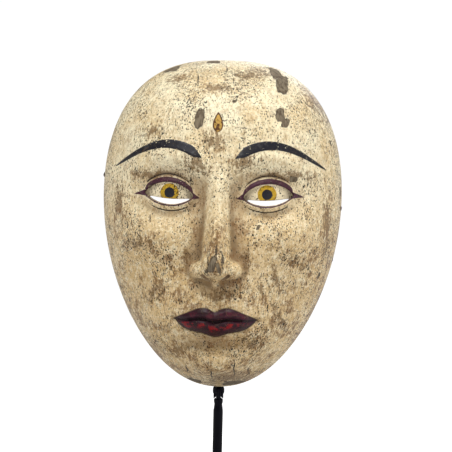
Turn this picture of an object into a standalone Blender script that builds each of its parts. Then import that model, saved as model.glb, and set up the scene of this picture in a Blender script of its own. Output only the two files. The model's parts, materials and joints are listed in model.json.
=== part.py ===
"""Carved wooden theatre mask on an adjustable steel display stand.

The row frame has +Z up, the mask looking along -Y, and the origin under the middle of the base.
A square steel plate stands on four pads. A flanged socket on it holds a tube that swivels, and a
rod slides in the tube. The rod's tongue carries a forked bar that tilts. Two bent wires cross the
bar: their sleeved tips stand under the mask's forehead and against its cheeks, inside the hollow.
The mask is one shell of wood, with iron tacks down its sides and a leather bite strap inside.
"""

import math

import bmesh
import bpy
import numpy as np
from mathutils import Matrix, Vector

MM = 0.001
GAP = 0.3 * MM  # clearance between neighbouring solids

# Mask, in the mask's own frame: x across, z up from the chin, depth forward from the rim plane.
MASK_WIDTH = 146 * MM
MASK_HEIGHT = 200 * MM
DOME_DEPTH = 62 * MM
WALL = 9 * MM
RIM_WALL = 8.5 * MM
SIDE_TAPER = 0.15  # how much wider the forehead is than the jaw
DOME_POWER_ACROSS = 2.25  # 2 is an ellipse, and more is squarer
DOME_POWER_UP = 3.55
GRID_COLUMNS = 48
GRID_ROWS = 64
HOLLOW_COLUMNS = 24
HOLLOW_ROWS = 30

# The carved features, in millimetres from the middle of the face and from the chin. The face has
# classical proportions: brow and nose base divide its height in thirds, and it is five eyes wide.
BROW = 132.5
EYE_X = 29.2
EYE_Z = 116.5
EYE_HALF = 14.6
NOSE_TIP = 75.5
MOUTH = 43.0
MOUTH_HALF = 24.0
SLIT_ABOVE_LID = 0.5
SLIT_HEIGHT = 2.9
SLIT_HALF = 12.2
NOSTRIL_X = 6 * MM
NOSTRIL_Z = 58 * MM
NOSTRIL_DEPTH = 70 * MM  # forward of the rim plane
NOSTRIL_RADIUS = 2.4 * MM
NOSTRIL_LENGTH = 12.5 * MM

# Stand
PLATE_SIDE = 120 * MM
PLATE_THICKNESS = 8 * MM
PAD_RADIUS = 8 * MM
PAD_THICKNESS = 3 * MM
PAD_INSET = 14 * MM
POST_Y = 35 * MM  # the post's axis, behind the plate's middle
FLANGE_RADIUS = 18 * MM
FLANGE_THICKNESS = 4 * MM
BOSS_RADIUS = 9 * MM
BOSS_HEIGHT = 26 * MM
FLANGE_SCREW_COUNT = 3
FLANGE_SCREW_CIRCLE = 13.4 * MM
FLANGE_SCREW_RADIUS = 1.5 * MM
FLANGE_SCREW_DEPTH = 9 * MM  # below the flange's top
SCREW_HEAD_RADIUS = 2.8 * MM
SCREW_HEAD_HEIGHT = 1.8 * MM
HEX_RECESS_RADIUS = 1.2 * MM
TUBE_RADIUS = 5 * MM
ROD_RADIUS = 3 * MM
COLLAR_RADIUS = 8 * MM
COLLAR_HEIGHT = 13 * MM
COLLAR_TOP_Z = 90 * MM
CHIN_Z = 135 * MM
PIVOT_BELOW_CHIN = 2.8 * MM
ROD_FOOT_Z = 40 * MM
WAIST_RADIUS = 2.5 * MM
TONGUE_WIDTH = 2.3 * MM
TONGUE_RADIUS = 2.3 * MM
PIN_RADIUS = 1.2 * MM
BAR_SIDE = 6 * MM
FORK_HALF = 2.95 * MM  # half of the fork's width and depth, just under the bar's
FORK_END_RADIUS = 5.2 * MM  # of the fork's round end about the pivot, on its outer faces
FORK_END_SLOPE = 0.8  # how fast that radius falls towards the fork's middle
SHOULDER_GAP = 0.45 * MM  # between the fork's end and the rod's shoulders
BAR_ABOVE_WIRE = 8 * MM
GRUB_SCREW_RADIUS = 1.1 * MM
CHIN_PAD_THICKNESS = 1.4 * MM
CHIN_PAD_HEIGHT = 14 * MM
WIRE_RADIUS = 1.5 * MM
SLEEVE_WALL = 1 * MM
SLEEVE_CAP = 1.6 * MM  # how far the sleeve's closed end stands past the wire's end
SLEEVE_SKIRT = 5.04 * MM  # the sleeve's whole length
WIRE_END_STRAIGHT = 3.6 * MM  # the last, upright stretch of each wire
TIP_CLEARANCE = 3.4 * MM  # behind the hollow's wall, measured at the height of the wire's end
KNOB_RADIUS = 6.5 * MM
KNOB_LENGTH = 7 * MM
KNOB_SHANK_RADIUS = 1.9 * MM
KNOB_NECK_RADIUS = 3.5 * MM
KNOB_WALL_GAP = 1.5 * MM

# Heights worked out from the sizes above
PLATE_BOTTOM_Z = PAD_THICKNESS + GAP
PLATE_TOP_Z = PLATE_BOTTOM_Z + PLATE_THICKNESS
FLANGE_BOTTOM_Z = PLATE_TOP_Z + GAP
PIVOT_Z = CHIN_Z - PIVOT_BELOW_CHIN
RIM_Y = POST_Y - BAR_SIDE / 2 - CHIN_PAD_THICKNESS - 2 * GAP
SOCKET_KNOB_Z = FLANGE_BOTTOM_Z + BOSS_HEIGHT - 7 * MM
COLLAR_KNOB_Z = COLLAR_TOP_Z - COLLAR_HEIGHT / 2

ROUND_STEPS = 24
FORK_END_STEPS = 48
SMALL_STEPS = 16

# Where the wires cross the bar and end under the carving, in the mask's frame
UPPER_WIRE_Z = 146 * MM
UPPER_TIP = (28 * MM, 171 * MM)
LOWER_WIRE_Z = 60 * MM
LOWER_TIP = (40 * MM, 72 * MM)

# Side tacks: side, height above the chin, head radius
SIDE_TACKS = (
    ("left_tack_upper", -1, 128 * MM, 1.7 * MM),
    ("right_tack_upper", 1, 111 * MM, 1.7 * MM),
    ("right_tack_middle", 1, 99 * MM, 1.2 * MM),
    ("right_tack_middle_lower", 1, 93.5 * MM, 1.2 * MM),
    ("right_tack_lower", 1, 80 * MM, 1.5 * MM),
)
TACK_STAND_OFF = 0.4 * MM
TACK_SHANK_RADIUS = 0.8 * MM
TACK_SHANK_LENGTH = 5 * MM
TACK_DEPTH = 6 * MM  # how far forward of the rim plane the side tacks stand

# Bite strap
STRAP_HEIGHT = 12 * MM
STRAP_THICKNESS = 2.2 * MM
STRAP_HALF_SPAN = 33 * MM
STRAP_END = 8 * MM
STRAP_Z = 50 * MM
STRAP_BOW = 4 * MM
STRAP_WALL_GAP = 1.3 * MM
STRAP_TACK_RADIUS = 2.2 * MM


# ---------------------------------------------------------------- scene set-up


def clear_scene():
    for obj in list(bpy.data.objects):
        bpy.data.objects.remove(obj, do_unlink=True)


def new_collection(name):
    collection = bpy.data.collections.new(name)
    bpy.context.scene.collection.children.link(collection)
    return collection


def plain_material(name, colour, roughness, metallic=0.0):
    material = bpy.data.materials.new(name)
    material.use_nodes = True
    shader = material.node_tree.nodes["Principled BSDF"]
    shader.inputs["Base Color"].default_value = (*colour, 1)
    shader.inputs["Roughness"].default_value = roughness
    shader.inputs["Metallic"].default_value = metallic
    return material


def add_object(name, mesh, material=None, parent=None, location=(0, 0, 0), rotation=(0, 0, 0)):
    """A named object of the model, placed in its parent's frame."""
    obj = bpy.data.objects.new(name, mesh)
    PARTS.objects.link(obj)
    obj.parent = parent
    obj.location = location
    obj.rotation_euler = rotation
    if material:
        mesh.materials.append(material)
    return obj


def add_empty(name, location, parent=None):
    """A joint's frame. Its own location is in its parent's frame."""
    empty = bpy.data.objects.new(name, None)
    empty.empty_display_size = 10 * MM
    PARTS.objects.link(empty)
    empty.parent = parent
    empty.location = location
    return empty


# ---------------------------------------------------------------- shape helpers


def mesh_from(bm, name):
    mesh = bpy.data.meshes.new(name)
    bm.to_mesh(mesh)
    bm.free()
    return mesh


def turned(name, profile, material, steps=ROUND_STEPS, **place):
    """A body of revolution about Z. The profile holds (radius, height) and runs down its outer side.

    A profile that starts and ends on the axis is solid. One that doesn't is a ring, and is closed.
    """
    bm = bmesh.new()
    points = [bm.verts.new((radius, 0, height)) for radius, height in profile]
    for first, second in zip(points, points[1:]):
        bm.edges.new((first, second))
    if profile[0][0] > 0:
        bm.edges.new((points[-1], points[0]))
    obj = add_object(name, mesh_from(bm, name), material, **place)
    screw = obj.modifiers.new("turn", "SCREW")
    screw.steps = steps
    screw.render_steps = steps
    screw.use_merge_vertices = True
    screw.merge_threshold = 0.00001
    screw.use_smooth_shade = True
    return obj


def cylinder_mesh(name, radius, length, steps=SMALL_STEPS, top_radius=None):
    """A cylinder along Z that stands on z = 0, or a cone's frustum if its top radius differs."""
    bm = bmesh.new()
    bmesh.ops.create_cone(
        bm,
        cap_ends=True,
        segments=steps,
        radius1=radius,
        radius2=radius if top_radius is None else top_radius,
        depth=length,
        matrix=Matrix.Translation((0, 0, length / 2)),
    )
    return mesh_from(bm, name)


def box_mesh(name, size, centre=(0, 0, 0)):
    bm = bmesh.new()
    bmesh.ops.create_cube(bm, matrix=Matrix.Translation(centre) @ Matrix.Diagonal((*size, 1)))
    return mesh_from(bm, name)


def prism_mesh(name, outline, length):
    """A flat outline of (x, z) points, extruded along Y to both sides of y = 0."""
    bm = bmesh.new()
    face = bm.faces.new([bm.verts.new((x, -length / 2, z)) for x, z in outline])
    swept = bmesh.ops.extrude_face_region(bm, geom=[face])
    moved = [item for item in swept["geom"] if isinstance(item, bmesh.types.BMVert)]
    bmesh.ops.translate(bm, verts=moved, vec=(0, length, 0))
    bmesh.ops.recalc_face_normals(bm, faces=bm.faces)
    return mesh_from(bm, name)


def cut(obj, mesh, location=(0, 0, 0), rotation=(0, 0, 0), operation="DIFFERENCE"):
    """Cuts a mesh out of an object, or joins it on. The place is in the frame of the object's parent."""
    cutter = bpy.data.objects.new(mesh.name, mesh)
    CUTTERS.objects.link(cutter)
    cutter.parent = obj.parent
    cutter.location = location
    cutter.rotation_euler = rotation
    cutter.hide_render = True
    cutter.display_type = "WIRE"
    boolean = obj.modifiers.new(mesh.name, "BOOLEAN")
    boolean.operation = operation
    boolean.solver = "EXACT"
    boolean.object = cutter
    return cutter


def bevel(obj, width, segments=2, angle=math.radians(40)):
    modifier = obj.modifiers.new("edges", "BEVEL")
    modifier.width = width
    modifier.segments = segments
    modifier.limit_method = "ANGLE"
    modifier.angle_limit = angle


# ---------------------------------------------------------------- the mask's form, in millimetres


def bump(x, z, centre_x, centre_z, radius_x, radius_z, power=2):
    """1 at the middle of an ellipse, and near 0 outside it. A higher power has a flatter top."""
    distance = np.hypot((x - centre_x) / radius_x, (z - centre_z) / radius_z)
    return np.exp(-(distance**power))


def ease(value, start, end):
    """0 before start, 1 after end, and smooth between them."""
    t = np.clip((value - start) / (end - start), 0, 1)
    return t * t * (3 - 2 * t)


def soft_max(a, b, blend):
    """The larger of two heights, with a rounded change from one to the other."""
    overlap = np.maximum(blend - np.abs(a - b), 0) / blend
    return np.maximum(a, b) + overlap**2 * blend / 4


def standing(height, share, sink):
    """A mound's height where share is 1, and sink below the skin where it is 0."""
    return height * share - sink * (1 - share)


def carve_planes(x, z):
    """The large forms: forehead, brows, sockets, cheeks, temples, muzzle, chin and jaw."""
    arch = np.sin(np.pi * np.clip((x - 4) / 54, 0, 1))
    brow_z = BROW + 6 * arch - 4 * ease(x, 44, 64)
    relief = 2 * bump(x, z, 22, 166, 26, 20)
    relief += 2.8 * np.exp(-(((z - brow_z) / 7) ** 2)) * ease(x, 0, 15) * ease(x, 66, 44)
    relief -= 8 * bump(x, z, 28.5, 117.5, 21, 14, 2.4)
    relief -= 2.2 * bump(x, z, 13.5, 119, 6.5, 8)
    relief += 5.5 * bump(x, z, 43, 92, 20, 13)
    relief -= 2 * bump(x, z, 45, 60, 13, 18)
    relief -= 2.2 * bump(x, z, 63, 142, 12, 17)
    relief += 5 * bump(x, z, 0, 47, 24, 19)
    relief += 1.6 * bump(x, z, 0, 43.5, 23, 10, 2.6)
    relief += 14.5 * bump(x, z, 0, 14.5, 17.5, 13.5, 2.2)
    relief -= 3.2 * bump(x, z, 0, 28, 19, 5.5)
    return relief + 3 * bump(x, z, 33, 34, 17, 17)


def add_nose(x, z, relief):
    """The bridge from between the brows, the tip, the wings, and the column under the tip."""
    down = ease(z, 124, 74)
    bridge = 9.5 * ease(z, 143, 117) - 4 + 11.5 * down
    half_width = 8.2 + 1.8 * down
    nose = standing(bridge, np.exp(-((x / half_width) ** 2.3)), 9 - 3 * down)
    nose = soft_max(nose, standing(17.5, bump(x, z, 0, NOSE_TIP, 10.5, 9.8, 2.6), 9), 6)
    nose = soft_max(nose, standing(8.8, bump(x, z, 8.2, NOSE_TIP - 3.5, 8.6, 8.4, 2.8), 8), 7)
    nose = standing(nose, ease(z, 62, 70.5), 6)
    column = np.exp(-((x / 4) ** 2)) * ease(z, 58.5, 67) * ease(z, 74, 69)
    nose = soft_max(nose, standing(9, column, 4), 4)
    return soft_max(relief, nose + np.maximum(relief, 0) * 0.4, 4)


def add_lips(x, z, relief):
    """Closed lips: the parting line dips in the middle, and each lip swells away from it."""
    across = np.clip(x / MOUTH_HALF, 0, 1)
    parting = MOUTH - 0.9 * np.exp(-((x / 4.5) ** 2)) + 0.9 * np.exp(-(((x - 9) / 6) ** 2))
    upper_height = 7.4 * np.maximum(1 - across**1.7, 0) ** 0.75 + 0.05
    lower_height = 9 * np.maximum(1 - across**2.2, 0) ** 0.75 + 0.05
    upper = np.clip((z - parting) / upper_height, 0, 1)
    lower = np.clip((parting - z) / lower_height, 0, 1)
    fade = ease(x, MOUTH_HALF, MOUTH_HALF - 9)
    relief = relief + 2.7 * np.sin(np.pi * upper**0.7) * fade
    return relief + 3.3 * np.sin(np.pi * lower**0.75) * fade


def lid_edges(x):
    """The heights of the upper and lower edges of the eye's opening."""
    across = np.clip((x - EYE_X) / EYE_HALF, -1, 1)
    arch = np.maximum(1 - across**2, 0) ** 0.72
    level = EYE_Z + 0.9 * across
    return level + 7.2 * arch, level - 6.2 * arch


def add_eyes(x, z, relief):
    """Lids that bulge over each eyeball, and the ball set back inside their opening."""
    upper, lower = lid_edges(x)
    inside = np.minimum(upper - z, z - lower)
    inside = np.where(np.abs(x - EYE_X) > EYE_HALF, -1, inside)
    spread = np.hypot((x - EYE_X) / 1.18, (z - EYE_Z) / 0.98)
    lids = 16.5 * np.sqrt(np.maximum(1 - (spread / 19) ** 2, 0)) - 16
    skin = soft_max(relief, lids, 3)
    distance = np.hypot(x - EYE_X, z - EYE_Z)
    ball = 15 * np.sqrt(np.maximum(1 - (distance / 18) ** 2, 0)) - 15.6
    share = ease(inside, -0.8, 0.8)
    return skin * (1 - share) + np.minimum(ball, skin - 1) * share


def carved_relief(x, z):
    """How far the carving stands proud of the plain dome at a place on the face."""
    x = np.abs(x)
    relief = carve_planes(x, z)
    relief = add_nose(x, z, relief)
    relief = add_lips(x, z, relief)
    return add_eyes(x, z, relief)


def hollow_relief(x, z):
    """The hollow follows the nose, mouth and chin loosely, which keeps the wall even."""
    x = np.abs(x)
    relief = 8 * bump(x, z, 0, 82, 10, 20)
    relief += 5 * bump(x, z, 0, 46, 22, 18)
    relief += 8 * bump(x, z, 0, 17, 14, 12)
    return relief - 4 * bump(x, z, 28, 118, 22, 14)


def rim_spread(radius):
    """Moves the grid's rings outward, so that the steep side walls get rings too."""
    return np.sin(math.pi / 2 * (0.52 * radius + 0.48 * radius**4))


def half_width_factor(height_share):
    """The outline's half width at a height from -1, the chin, to 1, the top, over the disc's own."""
    squareness = np.where(height_share > 0, -0.115, -0.03)
    round_off = np.maximum(1 - height_share**2, 1e-6) ** squareness
    return round_off * (1 + SIDE_TAPER * height_share)


def widest_factor():
    heights = np.linspace(0, 0.6, 400)
    return float((half_width_factor(heights) * np.sqrt(1 - heights**2)).max())


# The outline is widest a little above its middle, so its half width is scaled to fit there.
HALF_WIDTH = MASK_WIDTH / 2 / widest_factor()


def dome_power(across, up):
    radius = np.maximum(np.hypot(across, up), 1e-9)
    return DOME_POWER_ACROSS + (DOME_POWER_UP - DOME_POWER_ACROSS) * (up / radius) ** 2


def skin_point(across, up, inset, depth, relief):
    """A point of the front, or of the hollow, from its place in the unit disc. Lengths are metres."""
    radius = np.minimum(np.hypot(across, up), 1)
    x = across * (HALF_WIDTH - inset) * half_width_factor(up)
    z = MASK_HEIGHT / 2 + up * (MASK_HEIGHT / 2 - inset)
    dome = depth * np.sqrt(np.maximum(1 - radius ** dome_power(across, up), 0))
    fade = ease(radius, 1, 0.86)
    return x, dome + relief(x / MM, z / MM) * MM * fade, z


def front_point(across, up):
    return skin_point(across, up, 0, DOME_DEPTH, carved_relief)


def hollow_point(across, up):
    return skin_point(across, up, RIM_WALL, DOME_DEPTH - WALL, hollow_relief)


def hollow_depth_at(x, z):
    """The hollow's depth at a place on the face, all in metres."""
    up = np.float64((z - MASK_HEIGHT / 2) / (MASK_HEIGHT / 2 - RIM_WALL))
    across = x / ((HALF_WIDTH - RIM_WALL) * half_width_factor(up))
    return float(hollow_point(across, up)[1])


def side_surface_x(z, depth):
    """How far out the side wall is at a height above the chin and a depth forward of the rim."""
    up = (z - MASK_HEIGHT / 2) / (MASK_HEIGHT / 2)
    near, far = 0.0, math.sqrt(1 - up**2)
    for _ in range(40):
        across = (near + far) / 2
        if front_point(np.float64(across), np.float64(up))[1] > depth:
            near = across
        else:
            far = across
    return float(front_point(np.float64(across), np.float64(up))[0])


def add_skin(bm, columns, rows, point_of):
    """A grid primitive squeezed into the unit disc and then moved onto one of the mask's skins."""
    made = bmesh.ops.create_grid(bm, x_segments=columns, y_segments=rows, size=1)
    for vertex in made["verts"]:
        a, b = vertex.co.x, vertex.co.y
        across = a * math.sqrt(1 - b * b / 2)
        up = b * math.sqrt(1 - a * a / 2)
        radius = math.hypot(across, up)
        spread = rim_spread(min(radius, 1)) / radius if radius > 1e-9 else 1
        x, depth, z = point_of(np.float64(across * spread), np.float64(up * spread))
        vertex.co = (float(x), -float(depth), float(z))
    return made["verts"]


def mask_mesh():
    bm = bmesh.new()
    add_skin(bm, GRID_COLUMNS, GRID_ROWS, front_point)
    front_faces = set(bm.faces)
    add_skin(bm, HOLLOW_COLUMNS, HOLLOW_ROWS, hollow_point)
    hollow_faces = [face for face in bm.faces if face not in front_faces]
    bmesh.ops.reverse_faces(bm, faces=hollow_faces)
    rims = [edge for edge in bm.edges if edge.is_boundary]
    bmesh.ops.bridge_loops(bm, edges=rims)
    bmesh.ops.triangulate(bm, faces=bm.faces)
    bmesh.ops.recalc_face_normals(bm, faces=bm.faces)
    return mesh_from(bm, "mask_shell")


def slit_outline(side, steps=12):
    """A sight slit: a crescent just above the lower lid's edge, under the eyeball."""
    lower = []
    upper = []
    for step in range(steps + 1):
        across = -1 + 2 * step / steps
        x = EYE_X + across * SLIT_HALF
        z = float(lid_edges(np.float64(x))[1]) + SLIT_ABOVE_LID
        height = 0.25 + SLIT_HEIGHT * (1 - across**2) ** 0.7
        lower.append((side * x * MM, z * MM))
        upper.append((side * x * MM, (z + height) * MM))
    return lower + upper[::-1]


# ---------------------------------------------------------------- the base


def build_base(materials):
    steel, rubber = materials["black_steel"], materials["rubber"]
    size = (PLATE_SIDE, PLATE_SIDE, PLATE_THICKNESS)
    centre = (0, 0, PLATE_BOTTOM_Z + PLATE_THICKNESS / 2)
    plate = add_object("base_plate", box_mesh("base_plate", size), steel, location=centre)
    bevel(plate, 1.2 * MM)

    pad = [
        (0, PAD_THICKNESS),
        (PAD_RADIUS, PAD_THICKNESS),
        (PAD_RADIUS - 0.6 * MM, 0),
        (0, 0),
    ]
    pad_offset = PLATE_SIDE / 2 - PAD_INSET
    for depth_name, y in (("front", -pad_offset), ("rear", pad_offset)):
        for side_name, x in (("left", -pad_offset), ("right", pad_offset)):
            turned(f"foot_pad_{depth_name}_{side_name}", pad, rubber, location=(x, y, 0))

    tube_bore = TUBE_RADIUS + GAP
    boss_top = FLANGE_BOTTOM_Z + BOSS_HEIGHT
    socket_profile = [
        (tube_bore, boss_top),
        (BOSS_RADIUS - 0.8 * MM, boss_top),
        (BOSS_RADIUS, boss_top - 0.8 * MM),
        (BOSS_RADIUS, FLANGE_BOTTOM_Z + FLANGE_THICKNESS + 2 * MM),
        (BOSS_RADIUS + 0.6 * MM, FLANGE_BOTTOM_Z + FLANGE_THICKNESS + 0.6 * MM),
        (BOSS_RADIUS + 2 * MM, FLANGE_BOTTOM_Z + FLANGE_THICKNESS),
        (FLANGE_RADIUS - 0.8 * MM, FLANGE_BOTTOM_Z + FLANGE_THICKNESS),
        (FLANGE_RADIUS, FLANGE_BOTTOM_Z + FLANGE_THICKNESS - 0.8 * MM),
        (FLANGE_RADIUS, FLANGE_BOTTOM_Z),
        (tube_bore, FLANGE_BOTTOM_Z),
    ]
    socket = turned("post_socket", socket_profile, steel, location=(0, POST_Y, 0))
    cut_screw_hole(socket, SOCKET_KNOB_Z, tube_bore, BOSS_RADIUS)

    flange_top = FLANGE_BOTTOM_Z + FLANGE_THICKNESS
    head_top = flange_top + GAP + SCREW_HEAD_HEIGHT
    screw_tip = flange_top - FLANGE_SCREW_DEPTH
    profile = [
        (0, head_top),
        (SCREW_HEAD_RADIUS * 0.6, head_top),
        (SCREW_HEAD_RADIUS * 0.92, head_top - 0.6 * MM),
        (SCREW_HEAD_RADIUS, flange_top + GAP),
        (FLANGE_SCREW_RADIUS, flange_top + GAP),
        (FLANGE_SCREW_RADIUS, screw_tip),
        (0, screw_tip),
    ]
    for index in range(FLANGE_SCREW_COUNT):
        angle = math.radians(30 + 360 / FLANGE_SCREW_COUNT * index)
        x = FLANGE_SCREW_CIRCLE * math.cos(angle)
        y = POST_Y + FLANGE_SCREW_CIRCLE * math.sin(angle)
        name = f"flange_screw_{index + 1}"
        screw = turned(name, profile, materials["bright_steel"], SMALL_STEPS, location=(x, y, 0))
        key = cylinder_mesh(f"{name}_hex_recess", HEX_RECESS_RADIUS, 2 * MM, 6)
        cut(screw, key, location=(x, y, head_top - 1.1 * MM))
        depth = FLANGE_SCREW_DEPTH + GAP + 2 * MM
        hole = cylinder_mesh(f"{name}_hole", FLANGE_SCREW_RADIUS + GAP, depth)
        cut(socket, hole, location=(x, y, screw_tip - GAP))
        cut(plate, hole.copy(), location=(x, y, screw_tip - GAP))


def cut_screw_hole(obj, height, inner_radius, outer_radius):
    """A hole for a thumb screw, through the wall on the post's rear side."""
    length = outer_radius - inner_radius + 4 * MM
    hole = cylinder_mesh(f"{obj.name}_screw_hole", KNOB_SHANK_RADIUS + GAP, length)
    post = POST_Y if obj.parent is None else 0
    location = (0, post + inner_radius - 2 * MM, height)
    cut(obj, hole, location=location, rotation=(-math.pi / 2, 0, 0))


def build_thumb_screw(name, body, material, wall_radius, tip_radius):
    """A round knob on a shank that presses on the post from behind. Its axis is +Y."""
    knob_start = wall_radius + KNOB_WALL_GAP
    profile = [
        (0, knob_start + KNOB_LENGTH),
        (KNOB_RADIUS - 1.2 * MM, knob_start + KNOB_LENGTH),
        (KNOB_RADIUS, knob_start + KNOB_LENGTH - 1.2 * MM),
        (KNOB_RADIUS, knob_start + 2 * MM),
        (KNOB_RADIUS - 1.2 * MM, knob_start + 1 * MM),
        (KNOB_NECK_RADIUS, knob_start + 1 * MM),
        (KNOB_NECK_RADIUS, knob_start),
        (KNOB_SHANK_RADIUS, knob_start),
        (KNOB_SHANK_RADIUS, tip_radius + 0.8 * MM),
        (KNOB_SHANK_RADIUS - 0.6 * MM, tip_radius),
        (0, tip_radius),
    ]
    return turned(name, profile, material, parent=body, rotation=(-math.pi / 2, 0, 0))


# ---------------------------------------------------------------- the post


def build_column(body, materials):
    """The swivelling outer tube with its locking collar. The body's frame is on the post's axis."""
    steel = materials["black_steel"]
    foot = FLANGE_BOTTOM_Z + GAP
    top = COLLAR_TOP_Z - 2 * MM
    bore = ROD_RADIUS + GAP
    tube_profile = [
        (bore, top),
        (TUBE_RADIUS, top),
        (TUBE_RADIUS, foot),
        (bore, foot),
    ]
    tube = turned("outer_tube", tube_profile, steel, parent=body)
    cut_screw_hole(tube, COLLAR_KNOB_Z, bore, TUBE_RADIUS)

    bottom = COLLAR_TOP_Z - COLLAR_HEIGHT
    seat = TUBE_RADIUS + GAP
    lip = top + GAP  # the collar's inner lip rests over the tube's end
    collar_profile = [
        (bore, COLLAR_TOP_Z),
        (COLLAR_RADIUS - 1.5 * MM, COLLAR_TOP_Z),
        (COLLAR_RADIUS, COLLAR_TOP_Z - 1.5 * MM),
        (COLLAR_RADIUS, bottom + 1 * MM),
        (COLLAR_RADIUS - 1 * MM, bottom),
        (seat, bottom),
        (seat, lip),
        (bore, lip),
    ]
    collar = turned("lock_collar", collar_profile, steel, parent=body)
    cut_screw_hole(collar, COLLAR_KNOB_Z, seat, COLLAR_RADIUS)


def fork_end_radius(across):
    """The radius of the fork's end about the pivot, at a distance across from its middle."""
    return FORK_END_RADIUS - FORK_END_SLOPE * (BAR_SIDE / 2 - across)


def build_rod(body, materials):
    """The sliding rod. Over its waist the shoulders slope up to a flat, round-ended tongue.

    The shoulders follow the fork's end, so only a thin gap shows between them.
    """
    steel = materials["black_steel"]
    shoulder_radius = ROD_RADIUS - 0.2 * MM
    shoulder_top = PIVOT_Z - fork_end_radius(TONGUE_WIDTH / 2) - SHOULDER_GAP
    shoulder_z = PIVOT_Z - fork_end_radius(shoulder_radius) - SHOULDER_GAP
    profile = [
        (0, shoulder_top),
        (TONGUE_WIDTH / 2, shoulder_top),
        (shoulder_radius, shoulder_z),
        (shoulder_radius, shoulder_z - 1.8 * MM),
        (WAIST_RADIUS, shoulder_z - 2.6 * MM),
        (WAIST_RADIUS, shoulder_z - 3.4 * MM),
        (ROD_RADIUS, shoulder_z - 7 * MM),
        (ROD_RADIUS, ROD_FOOT_Z + 0.6 * MM),
        (ROD_RADIUS - 0.6 * MM, ROD_FOOT_Z),
        (0, ROD_FOOT_Z),
    ]
    rod = turned("inner_rod", profile, steel, parent=body)

    blade_bottom = shoulder_z - 0.9 * MM
    blade_height = PIVOT_Z - blade_bottom
    blade = box_mesh("tongue_blade", (TONGUE_WIDTH, 2 * TONGUE_RADIUS, blade_height))
    cut(rod, blade, location=(0, 0, blade_bottom + blade_height / 2), operation="UNION")
    eye = cylinder_mesh("tongue_eye", TONGUE_RADIUS, TONGUE_WIDTH, 24)
    eye_place = (-TONGUE_WIDTH / 2, 0, PIVOT_Z)
    cut(rod, eye, location=eye_place, rotation=(0, math.pi / 2, 0), operation="UNION")
    hole = cylinder_mesh("tongue_hole", PIN_RADIUS + GAP, 4 * TONGUE_WIDTH, 16)
    hole_place = (-2 * TONGUE_WIDTH, 0, PIVOT_Z)
    cut(rod, hole, location=hole_place, rotation=(0, math.pi / 2, 0))


# ---------------------------------------------------------------- the tilting head, about its pivot


def build_bar(body, materials):
    """The forked bar that stands up behind the mask. The body's frame is on the pivot."""
    top = PIVOT_BELOW_CHIN + UPPER_WIRE_Z + BAR_ABOVE_WIRE
    bar_mesh = box_mesh("spine_bar", (BAR_SIDE, BAR_SIDE, top), (0, 0, top / 2))
    bar = add_object("spine_bar", bar_mesh, materials["black_steel"], parent=body)
    bevel(bar, 0.6 * MM, segments=1)
    quarter_turn = (0, math.pi / 2, 0)
    thick = FORK_HALF - TONGUE_WIDTH / 2
    inner_radius, outer_radius = fork_end_radius(TONGUE_WIDTH / 2), fork_end_radius(FORK_HALF)
    left_end = cylinder_mesh("fork_end_left", outer_radius, thick, FORK_END_STEPS, inner_radius)
    cut(bar, left_end, location=(-FORK_HALF, 0, 0), rotation=quarter_turn, operation="UNION")
    right_end = cylinder_mesh("fork_end_right", inner_radius, thick, FORK_END_STEPS, outer_radius)
    right_place = (TONGUE_WIDTH / 2, 0, 0)
    cut(bar, right_end, location=right_place, rotation=quarter_turn, operation="UNION")
    for side in (-1, 1):
        flank = box_mesh(f"fork_flank_{side}", (2 * BAR_SIDE, BAR_SIDE, 4 * FORK_END_RADIUS))
        cut(bar, flank, location=(0, side * (FORK_HALF + BAR_SIDE / 2), 0))
    slot_width = TONGUE_WIDTH + 2 * GAP
    slot_top = BAR_SIDE / 2
    slot_height = slot_top + FORK_END_RADIUS + 1 * MM
    slot = box_mesh("fork_slot", (slot_width, 2 * BAR_SIDE, slot_height))
    cut(bar, slot, location=(0, 0, slot_top - slot_height / 2))
    pin_hole = cylinder_mesh("fork_pin_hole", PIN_RADIUS + GAP, 2 * BAR_SIDE, 16)
    cut(bar, pin_hole, location=(-BAR_SIDE, 0, 0), rotation=quarter_turn)
    for wire_name, wire_z in (("upper", UPPER_WIRE_Z), ("lower", LOWER_WIRE_Z)):
        z = PIVOT_BELOW_CHIN + wire_z
        hole = cylinder_mesh(f"{wire_name}_wire_hole", WIRE_RADIUS + GAP, 2 * BAR_SIDE, 16)
        cut(bar, hole, location=(-BAR_SIDE, 0, z), rotation=quarter_turn)
        build_grub_screw(body, bar, wire_name, z, materials["bright_steel"])

    pin_profile = [
        (0, BAR_SIDE / 2 + 0.4 * MM),
        (PIN_RADIUS - 0.3 * MM, BAR_SIDE / 2 + 0.4 * MM),
        (PIN_RADIUS, BAR_SIDE / 2),
        (PIN_RADIUS, -BAR_SIDE / 2),
        (PIN_RADIUS - 0.3 * MM, -BAR_SIDE / 2 - 0.4 * MM),
        (0, -BAR_SIDE / 2 - 0.4 * MM),
    ]
    pin_steel = materials["bright_steel"]
    turned("pivot_pin", pin_profile, pin_steel, SMALL_STEPS, parent=body, rotation=quarter_turn)

    pad_size = (BAR_SIDE, CHIN_PAD_THICKNESS, CHIN_PAD_HEIGHT)
    pad_y = -BAR_SIDE / 2 - GAP - CHIN_PAD_THICKNESS / 2
    pad_place = (0, pad_y, PIVOT_BELOW_CHIN + CHIN_PAD_HEIGHT / 2 + 1 * MM)
    add_object("chin_pad", box_mesh("chin_pad", pad_size), materials["felt"], body, pad_place)


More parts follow.
